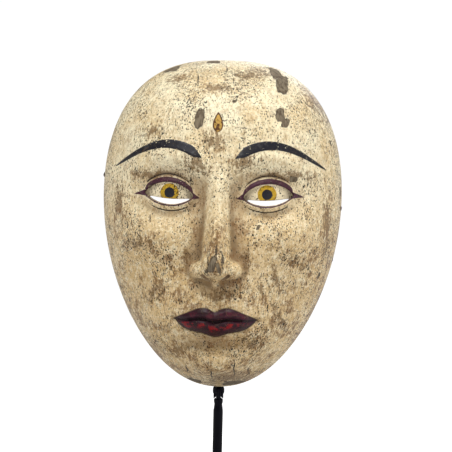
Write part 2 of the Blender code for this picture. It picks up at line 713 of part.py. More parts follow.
def build_grub_screw(body, bar, name, z, material):
    """A short headless screw in the bar's rear face, which holds one wire in its hole."""
    start = WIRE_RADIUS + GAP
    length = BAR_SIDE / 2 - start
    hole = cylinder_mesh(f"{name}_grub_hole", GRUB_SCREW_RADIUS + GAP, length + 2 * MM, 16)
    cut(bar, hole, location=(0, start - 1 * MM, z), rotation=(-math.pi / 2, 0, 0))
    screw_mesh = cylinder_mesh(f"{name}_grub_screw", GRUB_SCREW_RADIUS, length, 16)
    screw = add_object(
        f"{name}_grub_screw",
        screw_mesh,
        material,
        body,
        (0, start, z),
        (-math.pi / 2, 0, 0),
    )
    slot = box_mesh(f"{name}_grub_slot", (3 * MM, 1 * MM, 0.4 * MM))
    cut(screw, slot, location=(0, start + length, z))


def smooth_route(points, spacing):
    """Points along a smooth curve (Catmull-Rom) through the given ones, about spacing apart."""
    padded = [2 * points[0] - points[1], *points, 2 * points[-1] - points[-2]]
    route = []
    for a, b, c, d in zip(padded, padded[1:], padded[2:], padded[3:]):
        steps = max(1, round((c - b).length / spacing))
        for step in range(steps):
            t = step / steps
            route.append(
                0.5
                * (
                    2 * b
                    + (c - a) * t
                    + (2 * a - 5 * b + 4 * c - d) * t**2
                    + (3 * b - a - 3 * c + d) * t**3
                )
            )
    route.append(points[-1])
    return route


def tube_object(name, route, radius, material, body, resolution=2):
    curve = bpy.data.curves.new(name, "CURVE")
    curve.dimensions = "3D"
    curve.bevel_depth = radius
    curve.bevel_resolution = resolution
    curve.use_fill_caps = True
    spline = curve.splines.new("POLY")
    spline.points.add(len(route) - 1)
    for point, place in zip(spline.points, route):
        point.co = (*place, 1)
    return add_object(name, curve, material, body)


def wire_side(tip_x, tip_z, wire_z):
    """One half of a wire from the bar out to its tip, in the head's frame."""
    tip_depth = hollow_depth_at(tip_x, tip_z) - WIRE_RADIUS - SLEEVE_WALL - TIP_CLEARANCE
    rim_y = RIM_Y - POST_Y
    up = PIVOT_BELOW_CHIN
    return [
        Vector((0, 0, up + wire_z)),
        Vector((BAR_SIDE, 0, up + wire_z)),
        Vector((2 * BAR_SIDE, 0, up + wire_z)),
        Vector((tip_x * 0.78, rim_y - 3 * MM, up + wire_z)),
        Vector((tip_x * 0.95, rim_y - tip_depth * 0.42, up + wire_z + 1 * MM)),
        Vector((tip_x, rim_y - tip_depth * 0.8, up + wire_z + (tip_z - wire_z) * 0.3)),
        Vector((tip_x, rim_y - tip_depth, up + tip_z - WIRE_END_STRAIGHT)),
        Vector((tip_x, rim_y - tip_depth, up + tip_z)),
    ]


def build_wire(body, name, tip, wire_z, materials):
    """A wire through the bar, whose ends curve forward and up into the hollow, with its sleeves."""
    right = smooth_route(wire_side(*tip, wire_z), 3.5 * MM)
    mirror = Vector((-1, 1, 1))
    left = [point * mirror for point in right]
    tube_object(f"{name}_wire", left[::-1] + right[1:], WIRE_RADIUS, materials["black_steel"], body)
    tip_point = right[-1]
    outer = WIRE_RADIUS + SLEEVE_WALL
    inner = WIRE_RADIUS + GAP
    mouth = SLEEVE_CAP - SLEEVE_SKIRT
    # The sleeve is a blind cap: closed over the wire's end, open where the wire comes in.
    profile = [
        (0, SLEEVE_CAP),
        (outer - 1 * MM, SLEEVE_CAP),
        (outer, SLEEVE_CAP - 1 * MM),
        (outer, mouth),
        (inner, mouth),
        (inner, GAP),
        (0, GAP),
    ]
    for side_name, sign in (("left", -1), ("right", 1)):
        place = (sign * tip_point.x, tip_point.y, tip_point.z)
        turned(
            f"{name}_sleeve_{side_name}",
            profile,
            materials["rubber"],
            SMALL_STEPS,
            parent=body,
            location=place,
        )


# ---------------------------------------------------------------- the mask, about its chin on the rim


def build_mask(body, materials):
    mask = add_object("mask_shell", mask_mesh(), materials["painted_wood"], body)
    for side_name, side in (("left", -1), ("right", 1)):
        slit = prism_mesh(f"{side_name}_sight_slit", slit_outline(side), 160 * MM)
        cut(mask, slit)
        nostril = cylinder_mesh(f"{side_name}_nostril", NOSTRIL_RADIUS, NOSTRIL_LENGTH, 12)
        cut(mask, nostril, location=(side * NOSTRIL_X, -NOSTRIL_DEPTH, NOSTRIL_Z))
    for name, side, height, head_radius in SIDE_TACKS:
        surface = Vector((side * side_surface_x(height, TACK_DEPTH), -TACK_DEPTH, height))
        build_tack(body, mask, name, surface, side, head_radius, materials["iron"])
    build_strap(body, mask, materials)


def tack_profile(head_radius):
    """A round-headed tack along +Z: its head over z = 0, and its shank below."""
    return [
        (0, 0.9 * head_radius + GAP),
        (0.5 * head_radius, 0.75 * head_radius + GAP),
        (0.88 * head_radius, 0.4 * head_radius + GAP),
        (head_radius, GAP),
        (TACK_SHANK_RADIUS, GAP),
        (TACK_SHANK_RADIUS, -TACK_SHANK_LENGTH + 1.5 * MM),
        (0, -TACK_SHANK_LENGTH),
    ]


def build_tack(body, mask, name, surface, side, head_radius, material):
    """A tack driven into the mask's side wall, square to the wall across the face."""
    turn = (0, side * math.pi / 2, 0)
    place = surface + Vector((side * TACK_STAND_OFF, 0, 0))
    turned(name, tack_profile(head_radius), material, 16, parent=body, location=place, rotation=turn)
    depth = TACK_SHANK_LENGTH + 2 * GAP
    hole = cylinder_mesh(f"{name}_hole", TACK_SHANK_RADIUS + GAP, depth + 1 * MM, 12)
    start = place - Vector((side * depth, 0, 0))
    cut(mask, hole, location=start, rotation=turn)


def on_hollow(x, z, stand_off):
    """A place stand_off behind the hollow's wall, and the wall's normal there, which points back."""
    step = 1 * MM
    slope_x = (hollow_depth_at(x + step, z) - hollow_depth_at(x - step, z)) / (2 * step)
    slope_z = (hollow_depth_at(x, z + step) - hollow_depth_at(x, z - step)) / (2 * step)
    normal = Vector((slope_x, 1, slope_z)).normalized()
    return Vector((x, -hollow_depth_at(x, z), z)) + normal * stand_off, normal


def strap_row(z):
    """One height of the strap's middle surface: it follows the wall at its ends, and crosses between."""
    off_wall = STRAP_THICKNESS / 2 + STRAP_WALL_GAP
    bend_x = STRAP_HALF_SPAN - STRAP_END
    bend = on_hollow(bend_x, z, off_wall)[0]
    end = on_hollow(STRAP_HALF_SPAN, z, off_wall)[0]
    half = [
        Vector((0, bend.y + STRAP_BOW, z)),
        Vector((bend_x * 0.55, bend.y + STRAP_BOW * 0.8, z)),
        Vector((bend.x, bend.y, z)),
        Vector((end.x, end.y, z)),
    ]
    right = smooth_route(half, 2.5 * MM)
    left = [point * Vector((-1, 1, 1)) for point in right]
    return left[::-1] + right[1:]


def build_strap(body, mask, materials):
    """The leather bite strap inside the mouth: a band across the hollow, with a tack at each end."""
    bm = bmesh.new()
    levels = 4
    rows = []
    for level in range(levels + 1):
        z = STRAP_Z + STRAP_HEIGHT * (level / levels - 0.5)
        rows.append([bm.verts.new(point) for point in strap_row(z)])
    for lower, upper in zip(rows, rows[1:]):
        for a, b, c, d in zip(lower, lower[1:], upper[1:], upper):
            bm.faces.new((a, b, c, d))
    strap = add_object("bite_strap", mesh_from(bm, "bite_strap"), materials["leather"], body)
    solidify = strap.modifiers.new("thickness", "SOLIDIFY")
    solidify.thickness = STRAP_THICKNESS
    solidify.offset = 0

    for side_name, side in (("left", -1), ("right", 1)):
        x = side * (STRAP_HALF_SPAN - STRAP_END * 0.45)
        seat, back = on_hollow(x, STRAP_Z, STRAP_THICKNESS + STRAP_WALL_GAP)
        turn = back.to_track_quat("Z", "Y").to_euler()
        name = f"strap_tack_{side_name}"
        place = {"parent": body, "location": seat + back * 0.3 * MM, "rotation": turn}
        turned(name, tack_profile(STRAP_TACK_RADIUS), materials["iron"], 16, **place)
        depth = TACK_SHANK_LENGTH + 2 * GAP
        hole = cylinder_mesh(f"{name}_hole", TACK_SHANK_RADIUS + GAP, depth + 3 * MM, 12)
        start = seat - back * depth
        cut(mask, hole, location=start, rotation=turn)
        cut(strap, hole.copy(), location=start, rotation=turn)


# ---------------------------------------------------------------- the whole object


def main():
    materials = {
        "painted_wood": plain_material("painted_wood", (0.78, 0.67, 0.46), 0.6),
        "black_steel": plain_material("black_steel", (0.012, 0.012, 0.016), 0.4, 0.3),
        "bright_steel": plain_material("bright_steel", (0.35, 0.34, 0.33), 0.35, 1.0),
        "rubber": plain_material("rubber", (0.02, 0.02, 0.02), 0.8),
        "felt": plain_material("felt", (0.03, 0.03, 0.035), 0.95),
        "iron": plain_material("iron", (0.09, 0.06, 0.05), 0.6, 0.6),
        "leather": plain_material("leather", (0.16, 0.08, 0.04), 0.65),
    }
    build_base(materials)

    column = add_empty("column_axis", (0, POST_Y, 0))
    build_column(column, materials)
    socket_knob = add_empty("socket_knob_axis", (0, POST_Y, SOCKET_KNOB_Z))
    knob_tip = TUBE_RADIUS + GAP
    build_thumb_screw("socket_thumb_screw", socket_knob, materials["black_steel"], BOSS_RADIUS, knob_tip)
    collar_knob = add_empty("collar_knob_axis", (0, 0, COLLAR_KNOB_Z), column)
    rod_tip = ROD_RADIUS + GAP
    build_thumb_screw("collar_thumb_screw", collar_knob, materials["black_steel"], COLLAR_RADIUS, rod_tip)

    rod = add_empty("rod_axis", (0, 0, 0), column)
    build_rod(rod, materials)
    head = add_empty("head_pivot", (0, 0, PIVOT_Z), rod)
    build_bar(head, materials)
    build_wire(head, "upper", UPPER_TIP, UPPER_WIRE_Z, materials)
    build_wire(head, "lower", LOWER_TIP, LOWER_WIRE_Z, materials)

    mask = add_empty("mask_seat", (0, RIM_Y - POST_Y, PIVOT_BELOW_CHIN), head)
    build_mask(mask, materials)


clear_scene()
PARTS = new_collection("theatre_mask_on_stand")
CUTTERS = new_collection("cutters")
main()
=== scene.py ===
"""The looks of a carved and painted theatre mask on its display stand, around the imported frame."""

import json
import math

import bmesh
import bpy
import numpy as np
from mathutils import Matrix, Quaternion, Vector, noise


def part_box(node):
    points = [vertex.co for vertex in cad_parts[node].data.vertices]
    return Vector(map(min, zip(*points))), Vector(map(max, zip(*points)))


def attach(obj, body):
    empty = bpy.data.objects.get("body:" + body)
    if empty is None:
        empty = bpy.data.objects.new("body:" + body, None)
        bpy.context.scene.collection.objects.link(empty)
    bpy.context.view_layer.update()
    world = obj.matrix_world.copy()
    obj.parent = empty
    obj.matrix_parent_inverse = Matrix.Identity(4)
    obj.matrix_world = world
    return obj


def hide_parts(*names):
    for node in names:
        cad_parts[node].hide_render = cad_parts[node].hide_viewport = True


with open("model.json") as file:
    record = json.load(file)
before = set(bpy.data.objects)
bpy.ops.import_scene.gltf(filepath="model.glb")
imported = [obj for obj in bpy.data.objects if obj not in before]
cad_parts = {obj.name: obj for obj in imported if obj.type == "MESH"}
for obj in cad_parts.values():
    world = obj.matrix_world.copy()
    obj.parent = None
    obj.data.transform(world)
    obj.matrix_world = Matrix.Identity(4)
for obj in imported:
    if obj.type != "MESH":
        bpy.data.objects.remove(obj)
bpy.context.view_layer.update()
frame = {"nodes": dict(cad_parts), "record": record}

MM = 0.001
RECORD = frame["record"]
SLOTS = {row["node"]: row["material_slot"] for row in RECORD["subparts"]}
BODIES = {node: body for body, nodes in RECORD["behaviour"]["bodies"].items() for node in nodes}

# Lengths of the mask's form are millimetres: x across, z up from the chin, depth forward of the rim.
CHIN_CORNER, TOP_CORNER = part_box("mask_shell")
RIM_Y = TOP_CORNER.y
CHIN_Z = CHIN_CORNER.z
MASK_WIDTH = 146.0
MASK_HEIGHT = 200.0
DOME_DEPTH = 62.0
WALL = 8.5
SIDE_TAPER = 0.15
FRONT_COLUMNS = 210  # the hollow's grid is half as fine each way
FRONT_ROWS = 290
RIM_ROUND = 1.2

BROW = 132.5
EYE_X = 29.2
EYE_Z = 116.5
EYE_HALF = 14.6
IRIS_Z = 117.4
NOSE_TIP = 75.5
MOUTH = 43.0
MOUTH_HALF = 24.0
SLIT_ABOVE_LID = 0.5
SLIT_HEIGHT = 2.9
SLIT_HALF = 12.2
NOSTRIL_X, NOSTRIL_Z, NOSTRIL_DEPTH = 6.0, 58.0, 70.0
NOSTRIL_RADIUS = 2.4
NOSTRIL_LENGTH = 12.5
THROUGH_MASK = (-10, 90)  # a range of depths that takes in the whole mask
TACK_HOLE_RADIUS = 1.1
TACK_HOLE_LENGTH = 8.0
TACK_HOLE_DEPTH = 3.9  # from its inner end to the middle of the tack's box

# Mounds of the carving: height, x, z, half width, half height, and how flat the top is.
MOUNDS = (
    (2, 22, 166, 26, 20, 2),  # the forehead
    (-8, 28.5, 117.5, 21, 14, 2.4),  # the eye sockets, and their inner corners
    (-2.2, 13.5, 119, 6.5, 8, 2),
    (5.5, 43, 92, 20, 13, 2),  # the cheeks, and the hollows below them
    (-2, 45, 60, 13, 18, 2),
    (-2.2, 63, 142, 12, 17, 2),  # the temples
    (5, 0, 47, 24, 19, 2),  # the muzzle
    (1.6, 0, 43.5, 23, 10, 2.6),
    (14.5, 0, 14.5, 17.5, 13.5, 2.2),  # the chin, and the dip over it
    (-3.2, 0, 28, 19, 5.5, 2),
    (3, 33, 34, 17, 17, 2),  # the jaw
)
HOLLOW_MOUNDS = (
    (8, 0, 82, 10, 20, 2), (5, 0, 46, 22, 18, 2), (8, 0, 17, 14, 12, 2), (-4, 28, 118, 22, 14, 2),
)


# ---------------------------------------------------------------- the mask's form


def bump(x, z, centre_x, centre_z, radius_x, radius_z, power=2):
    """1 at the middle of an ellipse, and near 0 outside it. A higher power has a flatter top."""
    distance = np.hypot((x - centre_x) / radius_x, (z - centre_z) / radius_z)
    return np.exp(-(distance**power))


def mounds(x, z, rows):
    return sum(height * bump(x, z, *form) for height, *form in rows)


def ridge(value, centre, width):
    """1 along a line, falling off to near 0 over a width on both sides."""
    return np.exp(-(((value - centre) / width) ** 2))


def ease(value, start, end):
    """0 before start, 1 after end, and smooth between them."""
    t = np.clip((value - start) / (end - start), 0, 1)
    return t * t * (3 - 2 * t)


def soft_max(a, b, blend):
    """The larger of two heights, with a rounded change from one to the other."""
    overlap = np.maximum(blend - np.abs(a - b), 0) / blend
    return np.maximum(a, b) + overlap**2 * blend / 4


def standing(height, share, sink):
    """A mound's height where share is 1, and sink below the skin where it is 0."""
    return height * share - sink * (1 - share)


def carve_planes(x, z):
    """The large forms, and the arched ridge under the brows."""
    arch = np.sin(np.pi * np.clip((x - 4) / 54, 0, 1))
    brow_z = BROW + 6 * arch - 4 * ease(x, 44, 64)
    return mounds(x, z, MOUNDS) + 2.8 * ridge(z, brow_z, 7) * ease(x, 0, 15) * ease(x, 66, 44)


def add_nose(x, z, relief):
    """The bridge, the tip, the wings with their grooves, the column under the tip, and the philtrum."""
    down = ease(z, 124, 74)
    bridge = 9.5 * ease(z, 143, 117) - 4 + 11.5 * down
    half_width = 8.2 + 1.8 * down
    nose = standing(bridge, np.exp(-((x / half_width) ** 2.3)), 9 - 3 * down)
    nose = soft_max(nose, standing(17.5, bump(x, z, 0, NOSE_TIP, 10.5, 9.8, 2.6), 9), 6)
    nose = soft_max(nose, standing(8.8, bump(x, z, 8.2, NOSE_TIP - 3.5, 8.6, 8.4, 2.8), 8), 7)
    nose = standing(nose, ease(z, 62, 70.5), 6)
    column = ridge(x, 0, 4) * ease(z, 58.5, 67) * ease(z, 74, 69)
    nose = soft_max(nose, standing(9, column, 4), 4)
    relief = soft_max(relief, nose + np.maximum(relief, 0) * 0.4, 4)
    groove = ridge(np.hypot(x - 8.2, z - NOSE_TIP + 2.3), 9.6, 1.6)
    relief = relief - 0.8 * groove * ease(x, 11, 16) * ease(z, 66, 71)
    philtrum = ease(z, 50, 54) * ease(z, 62, 57)
    return relief + (0.4 * ridge(x, 4.4, 1.8) - 0.8 * ridge(x, 0, 2.4)) * philtrum


def lip_curves(x):
    """The heights of the lips' parting line, their upper outline and their lower one."""
    across = np.clip(x / MOUTH_HALF, 0, 1)
    parting = MOUTH - 0.9 * ridge(x, 0, 4.5) + 0.9 * ridge(x, 9, 6) + 0.6 * ease(x, 17, 25)
    upper = 7.4 * np.maximum(1 - across**1.7, 0) ** 0.75 - 1.5 * ridge(x, 0, 3)
    lower = 9 * np.maximum(1 - across**2.2, 0) ** 0.75
    return parting, parting + upper, parting - lower


def add_lips(x, z, relief):
    """Closed lips, which swell away from the parting line and sink at the corners."""
    parting, top, bottom = lip_curves(x)
    upper = np.clip((z - parting) / np.maximum(top - parting, 0.05), 0, 1)
    lower = np.clip((parting - z) / np.maximum(parting - bottom, 0.05), 0, 1)
    fade = ease(x, MOUTH_HALF + 0.2, MOUTH_HALF - 9)
    relief = relief + 2.7 * np.sin(np.pi * upper**0.7) ** 0.85 * fade
    relief += 3.3 * np.sin(np.pi * lower**0.75) ** 0.85 * fade
    relief -= 1.3 * ridge(z, parting, 0.8) * ease(x, MOUTH_HALF + 1.5, MOUTH_HALF - 4)
    return relief - 1.6 * bump(x, z, MOUTH_HALF + 0.8, MOUTH + 0.4, 2.6, 2.2)


def lid_curves(x):
    """The heights of the upper and lower edges of the eye's opening."""
    across = np.clip((x - EYE_X) / EYE_HALF, -1, 1)
    arch = np.maximum(1 - across**2, 0) ** 0.72
    level = EYE_Z + 0.9 * across
    return level + 7.2 * arch, level - 6.2 * arch


def eye_inside(x, z):
    """How far inside the eye's opening a place is. It is negative outside."""
    upper, lower = lid_curves(x)
    past = np.maximum(np.abs(x - EYE_X) - EYE_HALF, 0)
    corner_z = EYE_Z + 0.9 * np.sign(x - EYE_X)
    outside = -np.hypot(past, z - corner_z)
    return np.where(past > 0, outside, np.minimum(upper - z, z - lower))


def crease_height(x):
    """The crease over the upper lid."""
    across = (x - EYE_X) / EYE_HALF
    return EYE_Z + 0.9 * np.clip(across, -1, 1) + 12 * np.maximum(1 - (across / 1.12) ** 2, 0) ** 0.6


def add_eyes(x, z, relief):
    """Lids with a rounded edge and a crease, and an eyeball set back inside their opening."""
    inside = eye_inside(x, z)
    spread = np.hypot((x - EYE_X) / 1.18, (z - EYE_Z) / 0.98)
    lids = 16.5 * np.sqrt(np.maximum(1 - (spread / 19) ** 2, 0)) - 16
    skin = soft_max(relief, lids, 3) + ridge(inside, -1.3, 1.25)
    crease_share = ease(np.abs(x - EYE_X), 1.1 * EYE_HALF, 0.7 * EYE_HALF)
    distance = np.hypot(x - EYE_X, z - EYE_Z)
    ball = 15 * np.sqrt(np.maximum(1 - (distance / 18) ** 2, 0)) - 15.6
    ball = np.minimum(ball, skin - 1)
    share = ease(inside, -0.3, 0.3)
    lidded = skin - 1.2 * ridge(z, crease_height(x), 1) * crease_share
    return lidded * (1 - share) + ball * share


def brow_inside(x, z):
    """How far inside the painted brow a place is: an arch that tapers to a point at its outer end."""
    share = np.clip((x - 9.5) / 54, 0, 1)
    centre = 137.5 + 10.5 * np.sin(np.pi * share**0.85) - 4.5 * share
    half = 3 * ease(share, -0.02, 0.12) * (1 - share) ** 0.55 + 0.2
    beyond = np.maximum(np.abs(x - 36.5) - 27, 0)
    return half - np.abs(z - centre) * 0.9 - beyond * 2


def carved_relief(x, z):
    """How far the carving stands proud of the plain dome at a place on the face."""
    x = np.abs(x)
    relief = carve_planes(x, z)
    relief = add_nose(x, z, relief)
    relief = add_lips(x, z, relief)
    relief = add_eyes(x, z, relief)
    return relief + 0.7 * ease(brow_inside(x, z), -0.5, 0.6)


def gouge_marks(x, z):
    """The scoops that a gouge leaves: flutes up and down, each of them cut in short strokes."""
    drift = (x + 2.2 * np.sin(z / 17) + 1.3 * np.sin(z / 7.3 + x / 11)) / 8.5
    stroke = (z + 7.3 * np.floor(drift)) / 19
    flutes = np.abs(np.sin(np.pi * drift)) ** 0.7
    return 0.8 * flutes + 0.5 * flutes * np.abs(np.sin(np.pi * stroke)) ** 0.6


def hollow_relief(x, z):
    """The hollow follows the nose, mouth and chin loosely, with the scoops of a gouge all over it."""
    return mounds(np.abs(x), z, HOLLOW_MOUNDS) + gouge_marks(x, z)


# ---------------------------------------------------------------- the mask's two skins


def rim_spread(radius):
    """Moves the grid's rings outward, so that the steep side walls get rings too."""
    return np.sin(np.pi / 2 * (0.52 * radius + 0.48 * radius**4))


def half_width_factor(height_share):
    """The outline's half width at a height from -1, the chin, to 1, the top, over the disc's own."""
    squareness = np.where(height_share > 0, -0.115, -0.03)
    round_off = np.maximum(1 - height_share**2, 1e-6) ** squareness
    return round_off * (1 + SIDE_TAPER * height_share)


def half_width():
    heights = np.linspace(0, 0.6, 400)
    return MASK_WIDTH / 2 / (half_width_factor(heights) * np.sqrt(1 - heights**2)).max()


HALF_WIDTH = half_width()


def dome(across, up, depth):
    """The plain dome's depth. It is squarer up and down than across."""
    radius = np.hypot(across, up)
    power = 2.25 + 1.3 * (up / np.maximum(radius, 1e-9)) ** 2
    return depth * np.sqrt(np.maximum(1 - np.minimum(radius, 1) ** power, 0))


def skin(across, up, inset, depth, relief):
    """Places on one skin, from their places in the unit disc."""
    x = across * (HALF_WIDTH - inset) * half_width_factor(up)
    z = MASK_HEIGHT / 2 + up * (MASK_HEIGHT / 2 - inset)
    fade = ease(np.hypot(across, up), 1, 0.86)
    forward = np.maximum(dome(across, up, depth) + relief(x, z) * fade, RIM_ROUND)
    return x, forward, z


def unit_disc(columns, rows):
    """A square grid squeezed into the unit disc."""
    a, b = np.meshgrid(np.linspace(-1, 1, columns + 1), np.linspace(-1, 1, rows + 1))
    across = a * np.sqrt(1 - b * b / 2)
    up = b * np.sqrt(1 - a * a / 2)
    radius = np.hypot(across, up)
    spread = rim_spread(np.minimum(radius, 1)) / np.maximum(radius, 1e-9)
    return across * spread, up * spread


def snap_rows(across, up):
    """Moves the grid's nearest rows onto the lids' edges and the lips' lines, so that they run smooth."""
    x = np.abs(across * HALF_WIDTH * half_width_factor(up))
    z = MASK_HEIGHT / 2 * (1 + up)
    reach = 0.3  # a little over half the distance between rows
    for edge in lip_curves(x):
        near = (np.abs(z - edge) < reach) & (x < MOUTH_HALF)
        z = np.where(near, edge, z)
    upper, lower = lid_curves(x)
    within = np.abs(x - EYE_X) < EYE_HALF - 0.4
    for edge, out in ((upper, 1), (lower, -1)):
        beyond = (z - edge) * out
        side = np.where(beyond > 0, 1, -1)
        near = (np.abs(beyond) < 2 * reach) & within & (upper - lower > 2)
        z = np.where(near, edge + out * side * reach, z)
    return across, z / (MASK_HEIGHT / 2) - 1


def roughen(x, z, seed):
    """The slight unevenness of handwork: broad swells and small ones."""
    places = zip(x.ravel(), z.ravel())
    heights = [
        0.45 * noise.noise(Vector((a / 22, b / 26, seed)))
        + 0.16 * noise.noise(Vector((a / 6, b / 8, seed + 5)))
        for a, b in places
    ]
    return np.array(heights).reshape(x.shape)


def boundary_loop(grid):
    """The ring of vertex numbers round a grid's edge, from its low corner, anticlockwise."""
    return np.concatenate([grid[0, :-1], grid[:-1, -1], grid[-1, :0:-1], grid[:0:-1, 0]])


def grid_quads(grid, turned=False):
    corners = [grid[:-1, :-1], grid[:-1, 1:], grid[1:, 1:], grid[1:, :-1]]
    quads = np.stack(corners, -1).reshape(-1, 4)
    return quads[:, ::-1] if turned else quads


def rim_rings(outer, inner):
    """The rim's cross section from the front's edge to the hollow's: rounded over, flat, rounded in."""
    turn = RIM_ROUND / np.linalg.norm(inner - outer, axis=1, keepdims=True)
    rounding = [math.radians(angle) for angle in (30, 60, 90)]
    sides = [(turn * (1 - math.cos(a)), -RIM_ROUND * (1 - math.sin(a))) for a in rounding]
    shares = [*sides, (0.4, -0.15), *[(1 - share, y) for share, y in sides[::-1]]]
    return [((1 - share) * outer + share * inner, y) for share, y in shares]


def mask_mesh():
    """Both skins and the rim as one closed mesh. Painted faces have material 0, and bare ones 1."""
    across, up = snap_rows(*unit_disc(FRONT_COLUMNS, FRONT_ROWS))
    x, forward, z = skin(across, up, 0, DOME_DEPTH, carved_relief)
    calm = ease(eye_inside(np.abs(x), z), 1, -2) * ease(np.hypot(across, up), 1, 0.9)
    rim_fade = ease(np.hypot(across, up), 1, 0.97)
    losses = 0.4 * ease(chip_inside(x, forward, z), -0.06, 0.08)
    losses += 0.35 * ridge(crack_distance(x, z), 0, 0.5)
    forward = forward + roughen(x, z, 3.3) * calm - losses * rim_fade
    front = np.stack([x, -forward, z], -1).reshape(-1, 3)
    across, up = unit_disc(FRONT_COLUMNS // 2, FRONT_ROWS // 2)
    back = np.stack(skin(across, up, WALL, DOME_DEPTH - WALL, hollow_relief), -1).reshape(-1, 3)
    back[:, 1] *= -1

    front_grid = np.arange(len(front)).reshape(FRONT_ROWS + 1, FRONT_COLUMNS + 1)
    back_grid = np.arange(len(back)).reshape(FRONT_ROWS // 2 + 1, FRONT_COLUMNS // 2 + 1)
    back_grid = back_grid + len(front)
    outer_loop, inner_loop = boundary_loop(front_grid), boundary_loop(back_grid)
    verts = np.concatenate([front, back])
    outer = verts[outer_loop]
    following = np.roll(inner_loop, -1)
    inner = np.empty_like(outer)
    inner[0::2] = verts[inner_loop]
    inner[1::2] = (verts[inner_loop] + verts[following]) / 2

    loops = [outer_loop]
    for ring, y in rim_rings(outer, inner):
        ring = ring.copy()
        ring[:, 1] = y
        loops.append(np.arange(len(ring)) + len(verts))
        verts = np.concatenate([verts, ring])
    painted = grid_quads(front_grid).tolist()
    bare = grid_quads(back_grid, turned=True).tolist()
    for number, (first, second) in enumerate(zip(loops, loops[1:])):
        ring = np.stack([first, second, np.roll(second, -1), np.roll(first, -1)], -1)
        # The paint runs round the rim's outer edge.
        (painted if number < 3 else bare).extend(ring.tolist())
    last = loops[-1]
    a, b, c = last[0::2], last[1::2], np.roll(last[0::2], -1)
    for triangle in ((a, inner_loop, b), (inner_loop, following, b), (b, following, c)):
        bare += np.stack(triangle, -1).tolist()

    verts = verts * MM + np.array((0, RIM_Y, CHIN_Z))
    mesh = bpy.data.meshes.new("carved_mask")
    mesh.from_pydata(verts.tolist(), [], painted + bare)
    kinds = [0] * len(painted) + [1] * len(bare)
    mesh.polygons.foreach_set("material_index", kinds)
    mesh.shade_smooth()
    return mesh


# ---------------------------------------------------------------- meshes and objects


def add_object(name, mesh, *materials):
    obj = bpy.data.objects.new(name, mesh)
    bpy.context.scene.collection.objects.link(obj)
    for material in materials:
        mesh.materials.append(material)
    return obj


def stand_in(piece, node, slot=None):
    """The piece takes a CAD node's place, on its body and with its slot's material."""
    slot = slot or SLOTS[node]
    piece.data.materials.clear()
    piece.data.materials.append(MATERIALS[slot])
    piece.modifiers.new("normals", "WEIGHTED_NORMAL").keep_sharp = False
    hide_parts(node)
    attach(piece, BODIES[node])


def add_piece(name, bm, node, slot=None):
    stand_in(add_object(name, finish_mesh(bm, name)), node, slot)


def bevel_edges(obj, width, angle):
    bevel = obj.modifiers.new("edges", "BEVEL")
    bevel.width = width * MM
    bevel.segments = 2
    bevel.limit_method = "ANGLE"
    bevel.angle_limit = math.radians(angle)
    return bevel


def rounded(profile, cut, steps=4):
    """A profile with each of its corners rounded over a distance of cut to both sides."""
    result = [profile[0]]
    for before, corner, after in zip(profile, profile[1:], profile[2:]):
        corner = Vector(corner)
        back, on = Vector(before) - corner, Vector(after) - corner
        start = corner + back * min(0.5, cut / back.length)
        end = corner + on * min(0.5, cut / on.length)
        for step in range(steps + 1):
            t = step / steps
            point = start * (1 - t) ** 2 + corner * 2 * t * (1 - t) + end * t**2
            result.append((point.x, point.y))
    result.append(profile[-1])
    return result


def stitch(bm, rings, is_ring=False):
    """Joins rings of vertices into a skin. It is closed by its two ends, or by running round."""
    following = rings[1:] + rings[:1] if is_ring else rings[1:]
    for first, second in zip(rings, following):
        for index in range(len(first)):
            follow = (index + 1) % len(first)
            bm.faces.new((first[index], first[follow], second[follow], second[index]))
    if not is_ring:
        bm.faces.new(rings[0][::-1])
        bm.faces.new(rings[-1])


def lathe(bm, profile, steps, place, is_ring=False):
    """Turns (radius, height) pairs, in millimetres, about the place's own Z into a closed body."""
    rings = []
    for radius, height in profile:
        ring = []
        for index in range(steps):
            angle = 2 * math.pi * index / steps
            point = Vector((radius * math.cos(angle), radius * math.sin(angle), height))
            ring.append(bm.verts.new(place @ (point * MM)))
        rings.append(ring)
    stitch(bm, rings, is_ring)
    return [vert for ring in rings for vert in ring]


def finish_mesh(bm, name):
    bmesh.ops.recalc_face_normals(bm, faces=bm.faces)
    mesh = bpy.data.meshes.new(name)
    bm.to_mesh(mesh)
    bm.free()
    mesh.shade_smooth()
    return mesh


def on_mask(x, depth, z):
    """A place in the mask's own millimetres as a place in the frame."""
    return Vector((x * MM, RIM_Y - depth * MM, CHIN_Z + z * MM))


def add_prism(bm, outline, near, far):
    """A closed outline of (x, z) carried through the mask along the depth, from near to far."""
    stitch(bm, [[bm.verts.new(on_mask(x, depth, z)) for x, z in outline] for depth in (near, far)])


def slit_outline(side, steps=28):
    """A sight slit: a crescent just above the lower lid's edge, under the eyeball."""
    lower, upper = [], []
    for across in np.linspace(-1, 1, steps + 1):
        x = EYE_X + across * SLIT_HALF
        z = float(lid_curves(np.float64(x))[1]) + SLIT_ABOVE_LID
        height = 0.25 + SLIT_HEIGHT * (1 - across**2) ** 0.7
        lower.append((side * x, z))
        upper.append((side * x, z + height))
    return lower + upper[::-1]


def add_cylinder(bm, start, direction, radius, length, steps):
    """A closed cylinder from start along a direction. Its lengths are metres."""
    turn = direction.to_track_quat("Z", "Y").to_matrix().to_4x4()
    turn.translation = start + direction * length / 2
    sizes = {"radius1": radius, "radius2": radius, "depth": length}
    bmesh.ops.create_cone(bm, cap_ends=True, segments=steps, matrix=turn, **sizes)


